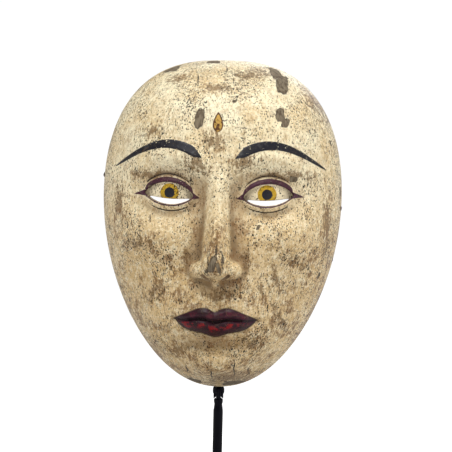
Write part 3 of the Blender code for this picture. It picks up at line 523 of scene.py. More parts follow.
def cut_openings(mask):
    """Cuts the sight slits, the nostrils and the tacks' holes, in one boolean."""
    bm = bmesh.new()
    for side in (-1, 1):
        add_prism(bm, slit_outline(side), *THROUGH_MASK)
        start = on_mask(side * NOSTRIL_X, NOSTRIL_DEPTH, NOSTRIL_Z)
        radius, length = NOSTRIL_RADIUS * MM, NOSTRIL_LENGTH * MM
        add_cylinder(bm, start, Vector((0, 0, 1)), radius, length, 28)
    for name in TACKS:
        low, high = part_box(name)
        place = (low + high) / 2
        outward = Vector((math.copysign(1, place.x), 0, 0))
        start = place - outward * TACK_HOLE_DEPTH * MM
        add_cylinder(bm, start, outward, TACK_HOLE_RADIUS * MM, TACK_HOLE_LENGTH * MM, 16)
    for face in bm.faces:
        face.material_index = 1
    apply_boolean(mask, bm)


def apply_boolean(obj, bm, operation="DIFFERENCE"):
    cutter = add_object("cutter", finish_mesh(bm, "cutter"))
    modifier = obj.modifiers.new("boolean", "BOOLEAN")
    modifier.operation = operation
    modifier.object = cutter
    apply_modifiers(obj)
    bpy.data.objects.remove(cutter)


def apply_modifiers(obj):
    evaluated = obj.evaluated_get(bpy.context.evaluated_depsgraph_get())
    mesh = bpy.data.meshes.new_from_object(evaluated)
    obj.modifiers.clear()
    obj.data = mesh


# ---------------------------------------------------------------- painted areas, as vertex attributes

# Places where the paint is lost down to the wood: x, z, half width, half height, and lean.
CHIPS = (
    (28, 198.5, 4.5, 3.5, -0.4), (31, 192, 3, 5, -0.4), (35.5, 184, 3.4, 6, -0.1),
    (-33, 194, 6, 3, 1), (-7, 199, 4.5, 2.2, 0), (-12, 161, 2.4, 5.5, 0.1),
    (35, 164.5, 2.6, 4, -0.1), (38.5, 160, 2, 2.5, 0.3), (44, 127, 2.2, 1.6, 0),
    (13, 3, 9, 2.2, 0), (-15, 4, 5, 1.6, 0), (52, 22, 3, 4, 0.5), (-1.6, 76, 2, 4.4, 0.25),
    (2.2, 74, 1, 3, -0.3), (4.4, 79, 0.7, 2, 0), (0.6, 84, 0.6, 1.6, 0), (-5, 72, 0.7, 1.2, 0),
    (8, 172, 1.3, 0.9, 0), (-41, 121, 1.2, 0.8, 0), (24, 98, 0.9, 1.4, 0.3),
    (-30, 3, 7, 2, 0),
)
# The same on the side walls: side, depth from the rim, z, half depth, half height.
SIDE_CHIPS = (
    (1, 3, 58, 4, 5), (1, 11, 121, 2, 3.5), (1, 1, 176, 4, 6), (1, 26, 70, 1.5, 2),
    (-1, 2, 72, 3, 7), (-1, 8, 146, 2.5, 4), (-1, 1, 30, 4, 6), (-1, 24, 96, 1.2, 2.2),
    (1, 0, 100, 2.5, 8), (-1, 0, 118, 2.5, 6), (-1, 18, 60, 1.6, 1.2), (1, 20, 150, 1.2, 1.8),
)
# Brown stains: x, z, half width, half height, and lean.
STAINS = (
    (-3, 148, 8, 7, 0), (14, 135, 9, 6, 0.5), (-13, 134, 9, 6, -0.5), (35, 68, 3, 13, -0.3),
    (46, 78, 9, 5, -0.6), (27, 60, 3, 9, -0.2), (-46, 88, 11, 5, 0.4), (38, 44, 3.5, 11, -0.4),
    (0, 58, 13, 4, 0), (57, 174, 9, 14, -0.6), (-42, 128, 15, 4, 0.3), (44, 129, 16, 4, -0.3),
    (-35, 60, 5, 9, 0.2), (56, 40, 6, 18, 0.5), (8, 9, 18, 6, 0), (16, 189, 14, 5, 0.6),
    (-26, 186, 8, 4, 1), (0, 92, 4, 12, 0), (-60, 110, 5, 16, 0), (64, 100, 4, 18, 0),
    (-22, 24, 9, 5, 0.8), (22, 30, 8, 6, -0.8), (-18, 80, 3, 8, 0), (18, 80, 3, 8, 0),
    (0, 75, 6, 8, 0), (-2, 180, 12, 3, 0), (-40, 154, 6, 5, 0.5),
)
# Short dark cracks along the grain: x, z of one end, and of the other.
CRACKS = (
    (11.5, 20, 11, 9), (-2, 14, -2.3, 7), (-15, 190, -14, 181), (19, 15, 19.5, 9),
    (-9, 173, -8, 170), (4, 84, 4.4, 72), (-4, 82, -4, 69), (0.5, 88, 0, 80),
    (2, 196, 2.4, 189), (-18, 16, -17, 10), (34, 152, 34.4, 147), (-40, 104, -40.4, 99),
    (30, 54, 30.6, 47), (-31, 73, -31.5, 68),
)


def patches(x, z, places, power=2):
    """How far inside the nearest patch each place is, over the patch's own size."""
    inside = np.full(x.shape, -9.0)
    for patch_x, patch_z, half_x, half_z, lean in places:
        aside = np.abs(x - patch_x - lean * (z - patch_z)) / half_x
        above = np.abs(z - patch_z) / half_z
        inside = np.maximum(inside, 1 - (aside**power + above**power) ** (1 / power))
    return inside


def chip_inside(x, forward, z):
    """The chips, squarish and with ragged edges."""
    places = zip(x.ravel(), forward.ravel(), z.ravel())
    ragged = [noise.fractal(Vector((a / 3.1, b / 3.1, c / 3.6)), 0.7, 2.1, 4) for a, b, c in places]
    inside = patches(x, z, CHIPS, 4) - 2 * ease(forward, 14, 7)
    for side in (-1, 1):
        walls = [(*row[1:], 0) for row in SIDE_CHIPS if row[0] == side]
        here = patches(forward, z, walls, 3) - 9 * ease(x * side, 45, 35)
        inside = np.maximum(inside, here)
    return inside + 0.28 * np.array(ragged).reshape(x.shape)


def crack_distance(x, z):
    nearest = np.full(x.shape, 9.0)
    for x1, z1, x2, z2 in CRACKS:
        along = ((x - x1) * (x2 - x1) + (z - z1) * (z2 - z1)) / ((x2 - x1) ** 2 + (z2 - z1) ** 2)
        along = np.clip(along, 0, 1)
        bend = 0.22 * np.sin(along * 11 + x1) + 0.12 * np.sin(along * 29 + z1)
        distance = np.hypot(x - x1 - along * (x2 - x1) - bend, z - z1 - along * (z2 - z1))
        taper = 0.4 * (2 * along - 1) ** 4
        nearest = np.minimum(nearest, distance + taper)
    return nearest


def hollowness(x, z, reach):
    """How far the carving lies below what is round it, within a reach."""
    around = np.zeros(x.shape)
    for angle in np.arange(0, 2 * np.pi, np.pi / 4):
        around += carved_relief(x + reach * np.cos(angle), z + reach * np.sin(angle)) / 8
    return around - carved_relief(x, z)


def mark_inside(x, z):
    """A small leaf-shaped mark on the forehead, pointed at its top."""
    share = np.clip((z - 153.5) / 12, 0, 1)
    half = 7.5 * share**0.5 * (1 - share) ** 0.95
    return half - np.abs(x + 1) - np.maximum(np.abs(z - 159.5) - 6, 0)


def lid_band(x, z):
    """How far inside the painted lid line a place is. It runs on to a point past each corner."""
    eye = eye_inside(x, z)
    band = np.minimum(eye + 1 + 2.2 * ease(z, EYE_Z - 3, EYE_Z + 3), 0.3 - eye)
    outer = x > EYE_X
    past = np.abs(x - EYE_X) - EYE_HALF
    middle = EYE_Z + np.where(outer, 0.9 - 0.12 * past, -0.9 - 0.3 * past)
    wing = 2 * (1 - past / np.where(outer, 8.0, 4.5)) - np.abs(z - middle)
    return np.where(past > 0, wing, band)


def mark_painted_areas(mesh):
    """Writes what the paint goes by at each vertex, in millimetres apart from the shares."""
    places = np.empty(len(mesh.vertices) * 3, np.float32)
    mesh.vertices.foreach_get("co", places)
    places = places.reshape(-1, 3).astype(float)
    x = places[:, 0] / MM
    z = (places[:, 2] - CHIN_Z) / MM
    forward = (RIM_Y - places[:, 1]) / MM
    side = np.abs(x)
    eye = eye_inside(side, z)
    parting, top, bottom = lip_curves(side)
    crease = np.abs(z - crease_height(side)) + 2 * ease(np.abs(side - EYE_X), 13, 16)
    beneath = np.abs(eye + 3.4) + 9 * ease(z, EYE_Z - 3, EYE_Z)
    up = np.clip(z / (MASK_HEIGHT / 2) - 1, -1, 1)
    outward = np.hypot(x / (HALF_WIDTH * half_width_factor(up)), up)
    areas = {
        "brow": brow_inside(side, z),
        "lid": lid_band(side, z),
        "eye": eye,
        "iris": np.hypot(side - EYE_X + 0.5, z - IRIS_Z),
        "lips": np.minimum(top - z, z - bottom) - 2 * np.maximum(side - MOUTH_HALF, 0),
        "parting": np.abs(z - parting) + 3 * ease(side, MOUTH_HALF, MOUTH_HALF + 4),
        "mark": mark_inside(x, z),
        "crease": np.minimum(crease, beneath + 2 * ease(np.abs(side - EYE_X), 11, 15)),
        "chip": chip_inside(x, forward, z),
        "stain": patches(x, z, STAINS),
        "crack": crack_distance(x, z) + 3 * ease(forward, 26, 18),
        "hollowness": hollowness(x, z, 4),
        "valley": hollowness(x, z, 12),
        "forward": forward,
        "height": z,
        "inset": (1 - outward) * HALF_WIDTH,
        "gouge": gouge_marks(x, z),
    }
    for name, values in areas.items():
        attribute = mesh.attributes.new(name, "FLOAT", "POINT")
        attribute.data.foreach_set("value", np.ascontiguousarray(values, np.float32))


# ---------------------------------------------------------------- materials


class Nodes:
    """One material's node tree. Each method adds a node and returns its output."""

    # The mix node's colour sockets, which share their names with its other kinds.
    COLOUR_A, COLOUR_B, COLOUR_RESULT = 6, 7, 2

    def __init__(self, name):
        self.material = bpy.data.materials.new(name)
        self.material.use_nodes = True
        self.tree = self.material.node_tree
        self.shader = self.tree.nodes["Principled BSDF"]
        self.place = self.add("ShaderNodeTexCoord").outputs["Object"]
        self.colour = None

    def add(self, kind, **settings):
        node = self.tree.nodes.new(kind)
        for name, value in settings.items():
            setattr(node, name, value)
        return node

    def feed(self, socket, value):
        if isinstance(value, bpy.types.NodeSocket):
            self.tree.links.new(value, socket)
        elif isinstance(value, tuple):
            socket.default_value = (*value, 1)
        else:
            socket.default_value = value

    def attribute(self, name):
        return self.add("ShaderNodeAttribute", attribute_name=name).outputs["Fac"]

    def stretched(self, stretch, offset):
        mapping = self.add("ShaderNodeMapping")
        self.feed(mapping.inputs["Vector"], self.place)
        mapping.inputs["Scale"].default_value = stretch
        mapping.inputs["Location"].default_value = (offset, offset * 0.7, -offset)
        return mapping.outputs["Vector"]

    def noise(self, size, detail=3.0, roughness=0.55, stretch=(1, 1, 1), offset=0.0, distort=0.0):
        """Noise from 0 to 1 whose features are about size millimetres across."""
        node = self.add("ShaderNodeTexNoise")
        self.feed(node.inputs["Vector"], self.stretched(stretch, offset))
        node.inputs["Scale"].default_value = 1 / (size * MM)
        node.inputs["Detail"].default_value = detail
        node.inputs["Roughness"].default_value = roughness
        node.inputs["Distortion"].default_value = distort
        return node.outputs["Fac"]

    def cells(self, size, feature="F1", stretch=(1, 1, 1), offset=0.0):
        node = self.add("ShaderNodeTexVoronoi", feature=feature)
        self.feed(node.inputs["Vector"], self.stretched(stretch, offset))
        node.inputs["Scale"].default_value = 1 / (size * MM)
        return node.outputs["Distance"]

    def step(self, value, low, high):
        """0 at low and 1 at high, with a smooth change between them. High may be the smaller."""
        node = self.add("ShaderNodeMapRange", interpolation_type="SMOOTHSTEP")
        self.feed(node.inputs["Value"], value)
        ends = (min(low, high), max(low, high), float(low >= high), float(low < high))
        for name, value in zip(("From Min", "From Max", "To Min", "To Max"), ends):
            node.inputs[name].default_value = value
        return node.outputs["Result"]

    def math(self, operation, a, b=0.0, c=0.0):
        node = self.add("ShaderNodeMath", operation=operation)
        for socket, value in zip(node.inputs, (a, b, c)):
            self.feed(socket, value)
        return node.outputs["Value"]

    def times(self, *values):
        product = values[0]
        for value in values[1:]:
            product = self.math("MULTIPLY", product, value)
        return product

    def shifted(self, value, by, amount):
        """value moved by noise that swings amount to both sides."""
        return self.math("ADD", value, self.math("MULTIPLY_ADD", by, 2 * amount, -amount))

    def area(self, name, by, amount, low, high):
        """The step across a painted area's edge, which noise has made uneven."""
        return self.step(self.shifted(self.attribute(name), by, amount), low, high)

    def blend(self, share, low, high):
        """low where share is 0 and high where it is 1, for colours."""
        node = self.add("ShaderNodeMix", data_type="RGBA")
        self.feed(node.inputs["Factor"], share)
        self.feed(node.inputs[self.COLOUR_A], low)
        self.feed(node.inputs[self.COLOUR_B], high)
        return node.outputs[self.COLOUR_RESULT]

    def paint(self, tone, share, *strength):
        """Lays a tone over the colour so far, where share is 1."""
        self.colour = self.blend(self.times(share, *strength), self.colour, tone)

    def level(self, share, low, high):
        """low where share is 0 and high where it is 1, for numbers."""
        node = self.add("ShaderNodeMapRange")
        self.feed(node.inputs["Value"], share)
        self.feed(node.inputs["To Min"], low)
        self.feed(node.inputs["To Max"], high)
        return node.outputs["Result"]

    def finish(self, roughness, height=None, depth=0.2, metallic=None, **uniform):
        """Feeds the shader. depth is how many millimetres the bump's height stands for."""
        self.feed(self.shader.inputs["Base Color"], self.colour)
        self.feed(self.shader.inputs["Roughness"], roughness)
        if metallic is not None:
            self.feed(self.shader.inputs["Metallic"], metallic)
        for name, value in uniform.items():
            self.shader.inputs[name.replace("_", " ")].default_value = value
        if height is not None:
            node = self.add("ShaderNodeBump")
            node.inputs["Strength"].default_value = 1.0
            node.inputs["Distance"].default_value = depth * MM
            self.feed(node.inputs["Height"], height)
            self.feed(self.shader.inputs["Normal"], node.outputs["Normal"])
        return self.material


CREAM = (0.84, 0.765, 0.54)
CREAM_WARM = (0.70, 0.54, 0.30)
CREAM_HIGHLIGHT = (0.97, 0.90, 0.66)
CREAM_LOW_SHADE = (0.56, 0.335, 0.105)
MOTTLE = (0.50, 0.34, 0.17)
STREAK = (0.40, 0.27, 0.13)
PIT_DIRT = (0.34, 0.23, 0.10)
VALLEY_DIRT_AND_SHADE = (0.30, 0.185, 0.08)
EDGE_GRIME = (0.24, 0.15, 0.07)
STAIN = (0.175, 0.098, 0.038)
ROAMING_STAIN = (0.20, 0.098, 0.036)
TAN = (0.38, 0.235, 0.095)
DIRT_AND_SHADE = (0.15, 0.088, 0.038)
SPECK = (0.035, 0.024, 0.017)
SPECK_DARK = (0.022, 0.016, 0.012)
CRACK = (0.03, 0.02, 0.014)
WOOD_GREY = (0.20, 0.16, 0.105)
WOOD_DARK = (0.085, 0.06, 0.038)
EYEBALL = (0.74, 0.63, 0.42)
AMBER = (0.50, 0.31, 0.022)
AMBER_DARK = (0.30, 0.17, 0.012)
IRIS_RIM = (0.06, 0.03, 0.01)
INK = (0.012, 0.012, 0.017)
INK_WORN = (0.10, 0.095, 0.095)
MAROON = (0.055, 0.014, 0.028)
MAROON_WORN = (0.12, 0.06, 0.06)
LIP_DARK = (0.024, 0.004, 0.009)
LIP_RED = (0.27, 0.006, 0.007)
LIP_PARTING = (0.012, 0.004, 0.005)
GOLD = (0.60, 0.39, 0.10)
GOLD_DARK = (0.40, 0.22, 0.05)
MARK_OUTLINE = (0.09, 0.035, 0.012)


def age_the_cream(n, broad, mottle, streak):
    """Cream paint, with what years of handling and dirt did to it, and painted shade low down and in its
    hollows.
    """
    n.colour = CREAM
    n.paint(CREAM_WARM, n.step(broad, 0.35, 0.72))
    grime = n.noise(2.6, 6, 0.75, stretch=(1, 1, 0.7), offset=23.0)
    n.paint(TAN, n.step(grime, 0.47, 0.68), 0.55)
    n.paint(MOTTLE, n.step(mottle, 0.50, 0.66), 0.40)
    n.paint(STREAK, n.step(streak, 0.50, 0.72), 0.55)
    # Painted shade: the cream darkens towards the bottom of the face, as under light from above.
    low = n.area("height", broad, 40, 145, 75)
    n.paint(CREAM_LOW_SHADE, low, 0.6)
    # Grime settles in grains, more of it at the sides. More grains low down add to the painted shade there.
    grit = n.noise(1.5, 6, 0.85, stretch=(1, 1, 0.6), offset=61.0)
    sideways = n.area("forward", mottle, 16, 52, 12)
    grime_and_low_shade = n.math("MAXIMUM", n.times(low, 0.75), sideways)
    n.paint(TAN, n.step(grit, 0.50, 0.66), n.level(grime_and_low_shade, 0.35, 0.8))
    n.paint(CREAM, n.step(n.noise(4, 6, 0.8, offset=71.0), 0.50, 0.60), 0.55)
    # The gesso's fine tooth holds dirt in its pits, and its tops carry pale painted highlights.
    tooth = n.noise(1.3, 3, 0.75, stretch=(1, 1, 0.55), offset=83.0)
    n.paint(PIT_DIRT, n.step(tooth, 0.56, 0.64), 0.3)
    n.paint(CREAM_HIGHLIGHT, n.step(tooth, 0.50, 0.38), 0.35)

    # Dirt and painted shade: the colour darkens in the carving's valleys and small hollows.
    n.paint(VALLEY_DIRT_AND_SHADE, n.area("valley", mottle, 1.5, 0.1, 4.5), 0.65)
    n.paint(DIRT_AND_SHADE, n.area("hollowness", mottle, 0.6, 0.15, 1.8), 0.7)
    n.paint(EDGE_GRIME, n.area("forward", grime, 9, 9.0, 1.0), 0.5)
    blotch = n.math("MULTIPLY_ADD", streak, 0.35, n.times(n.noise(3.2, 7, 0.78, offset=2.0), 0.65))
    stain = n.shifted(n.shifted(n.attribute("stain"), blotch, 3.4), grit, 1.8)
    n.paint(STAIN, n.step(stain, 0.05, 0.7), 0.8)
    # Roaming stains, laid on more strongly low down, where they deepen the painted shade.
    roaming = n.shifted(n.noise(11, 8, 0.78, offset=21.0), grit, 0.12)
    roaming = n.step(n.math("MULTIPLY_ADD", grime_and_low_shade, 0.05, roaming), 0.545, 0.60)
    n.paint(ROAMING_STAIN, roaming, n.step(blotch, 0.42, 0.54), n.level(low, 0.3, 0.85))


def paint_features(n, fine, mottle, wander):
    """Eyes, lids, brows, lips and mark. Returns where dark gloss paint is, and where gold is."""
    eyeball = n.step(n.attribute("eye"), 0.1, 0.5)
    n.paint(EYEBALL, eyeball, 0.75)
    iris_edge = n.shifted(n.attribute("iris"), n.noise(0.9, 3, 0.7, offset=9.0), 0.5)
    iris = n.times(n.step(iris_edge, 5.7, 5.4), eyeball)
    n.paint(n.blend(n.step(fine, 0.4, 0.7), AMBER, AMBER_DARK), iris)
    n.paint(IRIS_RIM, n.step(iris_edge, 4.7, 5.4), iris, n.step(fine, 0.5, 0.6))
    pupil = n.times(n.area("iris", wander, 0.25, 3.2, 3.0), eyeball)
    n.paint(INK, pupil)

    lid = n.area("lid", wander, 0.25, 0.0, 0.3)
    n.paint(n.blend(n.step(mottle, 0.5, 0.75), MAROON, MAROON_WORN), lid, n.step(fine, 0.78, 0.62))
    crease = n.area("crease", fine, 0.3, 0.5, 0.3)
    n.paint(SPECK, crease, n.step(mottle, 0.3, 0.42))

    worn = n.step(n.noise(1.8, 5, 0.72, offset=14.0), 0.63, 0.66)
    brow = n.area("brow", fine, 0.3, 0.0, 0.25)
    brow = n.times(brow, n.math("SUBTRACT", 1.0, worn))
    n.paint(n.blend(n.step(mottle, 0.5, 0.8), INK, INK_WORN), brow)

    lip_edge = n.shifted(n.attribute("lips"), fine, 0.25)
    lips = n.times(n.step(lip_edge, 0.0, 0.3), n.step(n.noise(1.1, 4, 0.65, offset=17.0), 0.705, 0.68))
    # The red on the lower lip's swell is partly wear through the dark paint and partly a painted highlight
    # where light from above falls.
    swell = n.step(n.math("MULTIPLY", n.attribute("hollowness"), -1.0), 0.5, 1.5)
    lower_lip = n.level(n.step(n.attribute("height"), 46, 42), 0.12, 1.0)
    rubbed = n.times(swell, n.step(mottle, 0.46, 0.58), lower_lip)
    n.paint(n.blend(rubbed, n.blend(n.step(mottle, 0.4, 0.7), LIP_DARK, MAROON), LIP_RED), lips)
    n.paint(SPECK, n.step(lip_edge, -0.45, 0.0), n.step(lip_edge, 0.6, 0.1), 0.75)
    n.paint(LIP_PARTING, n.step(n.attribute("parting"), 0.8, 0.25))

    mark_edge = n.shifted(n.attribute("mark"), fine, 0.35)
    n.paint(MARK_OUTLINE, n.step(mark_edge, -0.25, 0.0))
    gold = n.times(n.step(mark_edge, 0.55, 0.85), n.step(wander, 0.58, 0.50))
    n.paint(n.blend(fine, GOLD, GOLD_DARK), gold)
    return n.math("MAXIMUM", n.math("MAXIMUM", brow, lips), n.math("MAXIMUM", lid, pupil)), gold


def painted_wood():
    """Aged cream paint with the painted features over it, and the wear and losses over those."""
    n = Nodes("painted_wood")
    fine = n.noise(1.1, 4, 0.6)
    broad = n.noise(24, 5, 0.6, offset=3.0)
    mottle = n.noise(5, 6, 0.72, offset=7.0)
    streak = n.noise(1.6, 4, 0.6, stretch=(1, 1, 0.12), offset=11.0)
    wander = n.noise(2.4, 3, 0.6, offset=5.0)
    age_the_cream(n, broad, mottle, streak)
    dark_paint, gold = paint_features(n, fine, mottle, wander)

    # Specks, cracks, craquelure, and the losses down to the wood.
    speck_field = n.noise(0.75, 2, 0.5, stretch=(1, 1, 0.6), offset=4.0)
    crowd = n.step(n.noise(17, 4, 0.6, offset=31.0), 0.35, 0.68)
    edge = n.area("inset", mottle, 8, 9, 0)
    crowd = n.math("MAXIMUM", crowd, n.times(edge, 0.95))
    small = n.math("GREATER_THAN", speck_field, n.level(crowd, 0.66, 0.565))
    large = n.noise(1.9, 5, 0.72, stretch=(1, 1, 0.6), offset=51.0)
    specks = n.math("MAXIMUM", small, n.math("GREATER_THAN", large, n.level(crowd, 0.68, 0.61)))
    n.paint(SPECK_DARK, specks, 0.97)
    n.paint(SPECK, n.step(n.cells(5.2, offset=6.0), 0.11, 0.07), n.step(broad, 0.4, 0.5))
    net = n.step(n.cells(7.5, "DISTANCE_TO_EDGE", stretch=(1.4, 1.4, 0.8), offset=8.0), 0.02, 0.0)
    n.paint(DIRT_AND_SHADE, net, n.step(n.noise(30, 2, 0.5, offset=41.0), 0.45, 0.6), 0.45)
    crack = n.area("crack", fine, 0.35, 0.55, 0.25)
    crack = n.times(crack, n.step(wander, 0.30, 0.42))
    n.paint(CRACK, crack)
    chip_edge = n.shifted(n.attribute("chip"), fine, 0.05)
    rim_edge = n.shifted(n.attribute("forward"), n.noise(6, 5, 0.7, offset=15.0), 5.0)
    loss = n.math("MAXIMUM", n.step(chip_edge, -0.02, 0.03), n.step(rim_edge, 0.2, -0.2))
    loss = n.math("MAXIMUM", loss, n.step(n.noise(3.4, 4, 0.6, offset=27.0), 0.745, 0.755))
    n.paint(n.blend(n.step(streak, 0.35, 0.65), WOOD_GREY, WOOD_DARK), loss)
    n.paint(SPECK, n.step(chip_edge, -0.09, -0.01), n.step(chip_edge, 0.12, 0.03), 0.7)

    roughness = n.level(dark_paint, n.level(mottle, 0.42, 0.68), 0.40)
    roughness = n.level(loss, roughness, 0.85)
    height = n.math("MULTIPLY_ADD", mottle, 0.35, n.times(fine, 0.12))
    height = n.math("SUBTRACT", height, n.times(loss, 0.9))
    height = n.math("SUBTRACT", height, n.times(n.math("MAXIMUM", crack, specks), 0.45))
    height = n.math("MULTIPLY_ADD", streak, -0.22, height)
    return n.finish(roughness, height, 0.30, metallic=n.times(gold, 0.5), Specular_IOR_Level=0.22)


def bare_wood():
    """The dark, handled wood of the hollow, with its grain up and down."""
    n = Nodes("bare_wood")
    grain = n.noise(1.4, 6, 0.65, stretch=(1, 1, 0.07), distort=0.4)
    rings = n.noise(9, 3, 0.5, stretch=(1, 1, 0.1), offset=5.0, distort=0.8)
    worn = n.noise(30, 5, 0.6, offset=9.0)
    n.colour = (0.19, 0.115, 0.055)
    n.paint((0.30, 0.20, 0.11), n.step(rings, 0.35, 0.65))
    n.paint((0.10, 0.055, 0.025), n.step(grain, 0.5, 0.7), 0.7)
    n.paint((0.085, 0.05, 0.03), n.step(worn, 0.45, 0.7), 0.6)
    # Painted light and shade on the gouge marks: paler on the ridges between the scoops, darker in their
    # bottoms.
    scoops = n.shifted(n.attribute("gouge"), grain, 0.25)
    n.paint((0.37, 0.26, 0.155), n.step(scoops, 0.55, 0.1), 0.45)
    n.paint((0.075, 0.042, 0.022), n.step(scoops, 0.8, 1.25), 0.35)
    pores = n.step(n.noise(0.5, 2, 0.5, stretch=(1, 1, 0.08), offset=3.0), 0.66, 0.72)
    n.paint((0.03, 0.018, 0.01), pores, 0.7)
    # Handling has darkened the rim, and the front's paint has run over its outer edge.
    rim = n.step(n.attribute("forward"), 2.5, 0.3)
    n.paint((0.06, 0.034, 0.018), rim, n.step(n.noise(12, 5, 0.7, offset=33.0), 0.35, 0.62), 0.75)
    run = n.shifted(n.attribute("inset"), n.noise(5, 5, 0.7, offset=37.0), 4.5)
    n.paint((0.42, 0.31, 0.17), n.step(run, 1.6, 1.0), n.step(n.attribute("forward"), 6, 3), 0.85)
    nicks = n.noise(3, 4, 0.7, stretch=(1, 1, 0.5), offset=43.0)
    height = n.math("MULTIPLY_ADD", grain, 0.8, n.times(pores, -0.6))
    height = n.math("MULTIPLY_ADD", nicks, n.level(rim, 0.2, 1.6), height)
    return n.finish(n.level(worn, 0.55, 0.8), height, 0.3)


def black_lacquer():
    """Satin black lacquer on steel: fine orange peel, dust, and small rubs through to the metal."""
    n = Nodes("black_lacquer")
    dust = n.noise(14, 5, 0.6)
    peel = n.noise(0.9, 2, 0.5, offset=3.0)
    rub = n.step(n.noise(2.2, 6, 0.75, offset=9.0), 0.71, 0.735)
    n.colour = (0.0012, 0.0011, 0.0042)
    n.paint((0.0034, 0.003, 0.009), n.step(dust, 0.35, 0.8))
    n.paint((0.10, 0.095, 0.085), n.step(n.noise(0.8, 3, 0.7, offset=19.0), 0.72, 0.76), 0.25)
    n.paint((0.07, 0.065, 0.06), rub)
    roughness = n.level(n.step(dust, 0.3, 0.8), 0.36, 0.48)
    return n.finish(roughness, peel, 0.03, metallic=n.times(rub, 0.8), Specular_IOR_Level=0.08)


def screw_steel():
    """Darkened steel with turning marks."""
    n = Nodes("screw_steel")
    blotch = n.noise(3, 5, 0.65)
    marks = n.noise(0.35, 2, 0.5, stretch=(1, 0.1, 1), offset=2.0)
    n.colour = (0.36, 0.35, 0.34)
    n.paint((0.17, 0.155, 0.14), n.step(blotch, 0.35, 0.7))
    return n.finish(n.level(blotch, 0.22, 0.5), marks, 0.04, Metallic=1.0)


def rubber():
    n = Nodes("black_rubber")
    grain = n.noise(0.6, 3, 0.6)
    dust = n.noise(8, 5, 0.6, offset=4.0)
    n.colour = (0.014, 0.014, 0.014)
    n.paint((0.045, 0.043, 0.040), n.step(dust, 0.45, 0.75))
    return n.finish(n.level(dust, 0.65, 0.9), grain, 0.06)


def felt():
    n = Nodes("black_felt")
    fibres = n.noise(0.5, 4, 0.75, distort=1.5)
    n.colour = (0.012, 0.012, 0.014)
    n.paint((0.045, 0.045, 0.05), n.step(fibres, 0.3, 0.7))
    n.paint((0.12, 0.115, 0.11), n.step(n.noise(1.5, 5, 0.8, offset=7.0), 0.62, 0.72), 0.4)
    return n.finish(n.level(fibres, 0.85, 1.0), fibres, 0.3)


def rusted_iron():
    n = Nodes("rusted_iron")
    pits = n.noise(0.4, 3, 0.6, offset=5.0)
    share = n.step(n.noise(1.2, 5, 0.7), 0.42, 0.6)
    n.colour = (0.05, 0.04, 0.038)
    n.paint((0.11, 0.042, 0.018), share)
    n.paint((0.02, 0.012, 0.01), n.step(pits, 0.6, 0.7))
    return n.finish(n.level(share, 0.5, 0.85), pits, 0.15, metallic=n.level(share, 0.7, 0.1))


def leather():
    """Worn brown leather: pebble grain, darker handling marks, and rubbed places."""
    n = Nodes("brown_leather")
    folds = n.noise(3, 4, 0.6, stretch=(1, 1, 0.5), offset=3.0)
    rubbed = n.noise(9, 5, 0.65, offset=8.0)
    n.colour = (0.060, 0.020, 0.009)
    n.paint((0.135, 0.052, 0.022), n.step(rubbed, 0.35, 0.7))
    n.paint((0.022, 0.008, 0.004), n.step(folds, 0.55, 0.7), 0.6)
    height = n.math("MULTIPLY_ADD", n.cells(0.8), -0.6, folds)
    return n.finish(n.level(rubbed, 0.75, 0.5), height, 0.2)


def white_floor():
    """Pale paper near the object, which glows more and more white away from it, as a lit sweep does."""
    n = Nodes("pale_floor")
    cloud = n.noise(300, 3, 0.5)
    n.colour = n.blend(cloud, (0.60, 0.60, 0.60), (0.64, 0.64, 0.64))
    length = n.add("ShaderNodeVectorMath", operation="LENGTH")
    n.feed(length.inputs[0], n.place)
    glow = n.step(length.outputs["Value"], 0.25, 0.85)
    n.feed(n.shader.inputs["Emission Strength"], glow)
    n.shader.inputs["Emission Color"].default_value = (1, 1, 1, 1)
    return n.finish(0.7)


# The record's material slots, and the hollow's bare wood.
MATERIALS = {
    "painted_wood": painted_wood(),
    "bare_wood": bare_wood(),
    "black_steel": black_lacquer(),
    "bright_steel": screw_steel(),
    "rubber": rubber(),
    "felt": felt(),
    "iron": rusted_iron(),
    "leather": leather(),
}


# ---------------------------------------------------------------- the mask and its tacks

TACKS = (
    "left_tack_upper",
    "right_tack_upper",
    "right_tack_middle",
    "right_tack_middle_lower",
    "right_tack_lower",
)
TACK_HEAD_STEPS = 28
# The head's cross section: its radius over the full one, and its height over the wall, in mm.
TACK_HEAD = ((0.5, -1.4), (0.9, -0.3), (1.05, 0.6), (1.08, 1.5), (0.95, 2.3), (0.6, 2.8), (0.25, 3.0))


def hammered(point, seed):
    """A point of a forged head, moved as a hammer's blows leave it."""
    dents = noise.noise(point * 700 + Vector((seed, 0, 0)))
    dents += 0.4 * noise.noise(point * 2200 + Vector((0, seed, 0)))
    return point * (1 + 0.22 * dents)


def build_tacks(mask):
    """Hand forged heads, driven down onto the mask's side walls."""
    for number, name in enumerate(TACKS):
        low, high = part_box(name)
        radius = (high.z - low.z) / 2
        _, place, normal, _ = mask.closest_point_on_mesh((low + high) / 2)
        turn = normal.to_track_quat("Z", "Y").to_matrix().to_4x4()
        turn.translation = place
        profile = [(radius * share / MM, height) for share, height in TACK_HEAD]
        bm = bmesh.new()
        for vert in lathe(bm, profile, TACK_HEAD_STEPS, Matrix()):
            vert.co = turn @ hammered(vert.co, number * 3.7)
        add_piece(f"{name}_head", bm, name)


def build_mask():
    mask = add_object("carved_mask", mask_mesh(), MATERIALS["painted_wood"], MATERIALS["bare_wood"])
    cut_openings(mask)
    mark_painted_areas(mask.data)
    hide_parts("mask_shell")
    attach(mask, "mask")
    build_tacks(mask)


# ---------------------------------------------------------------- the stand's own parts

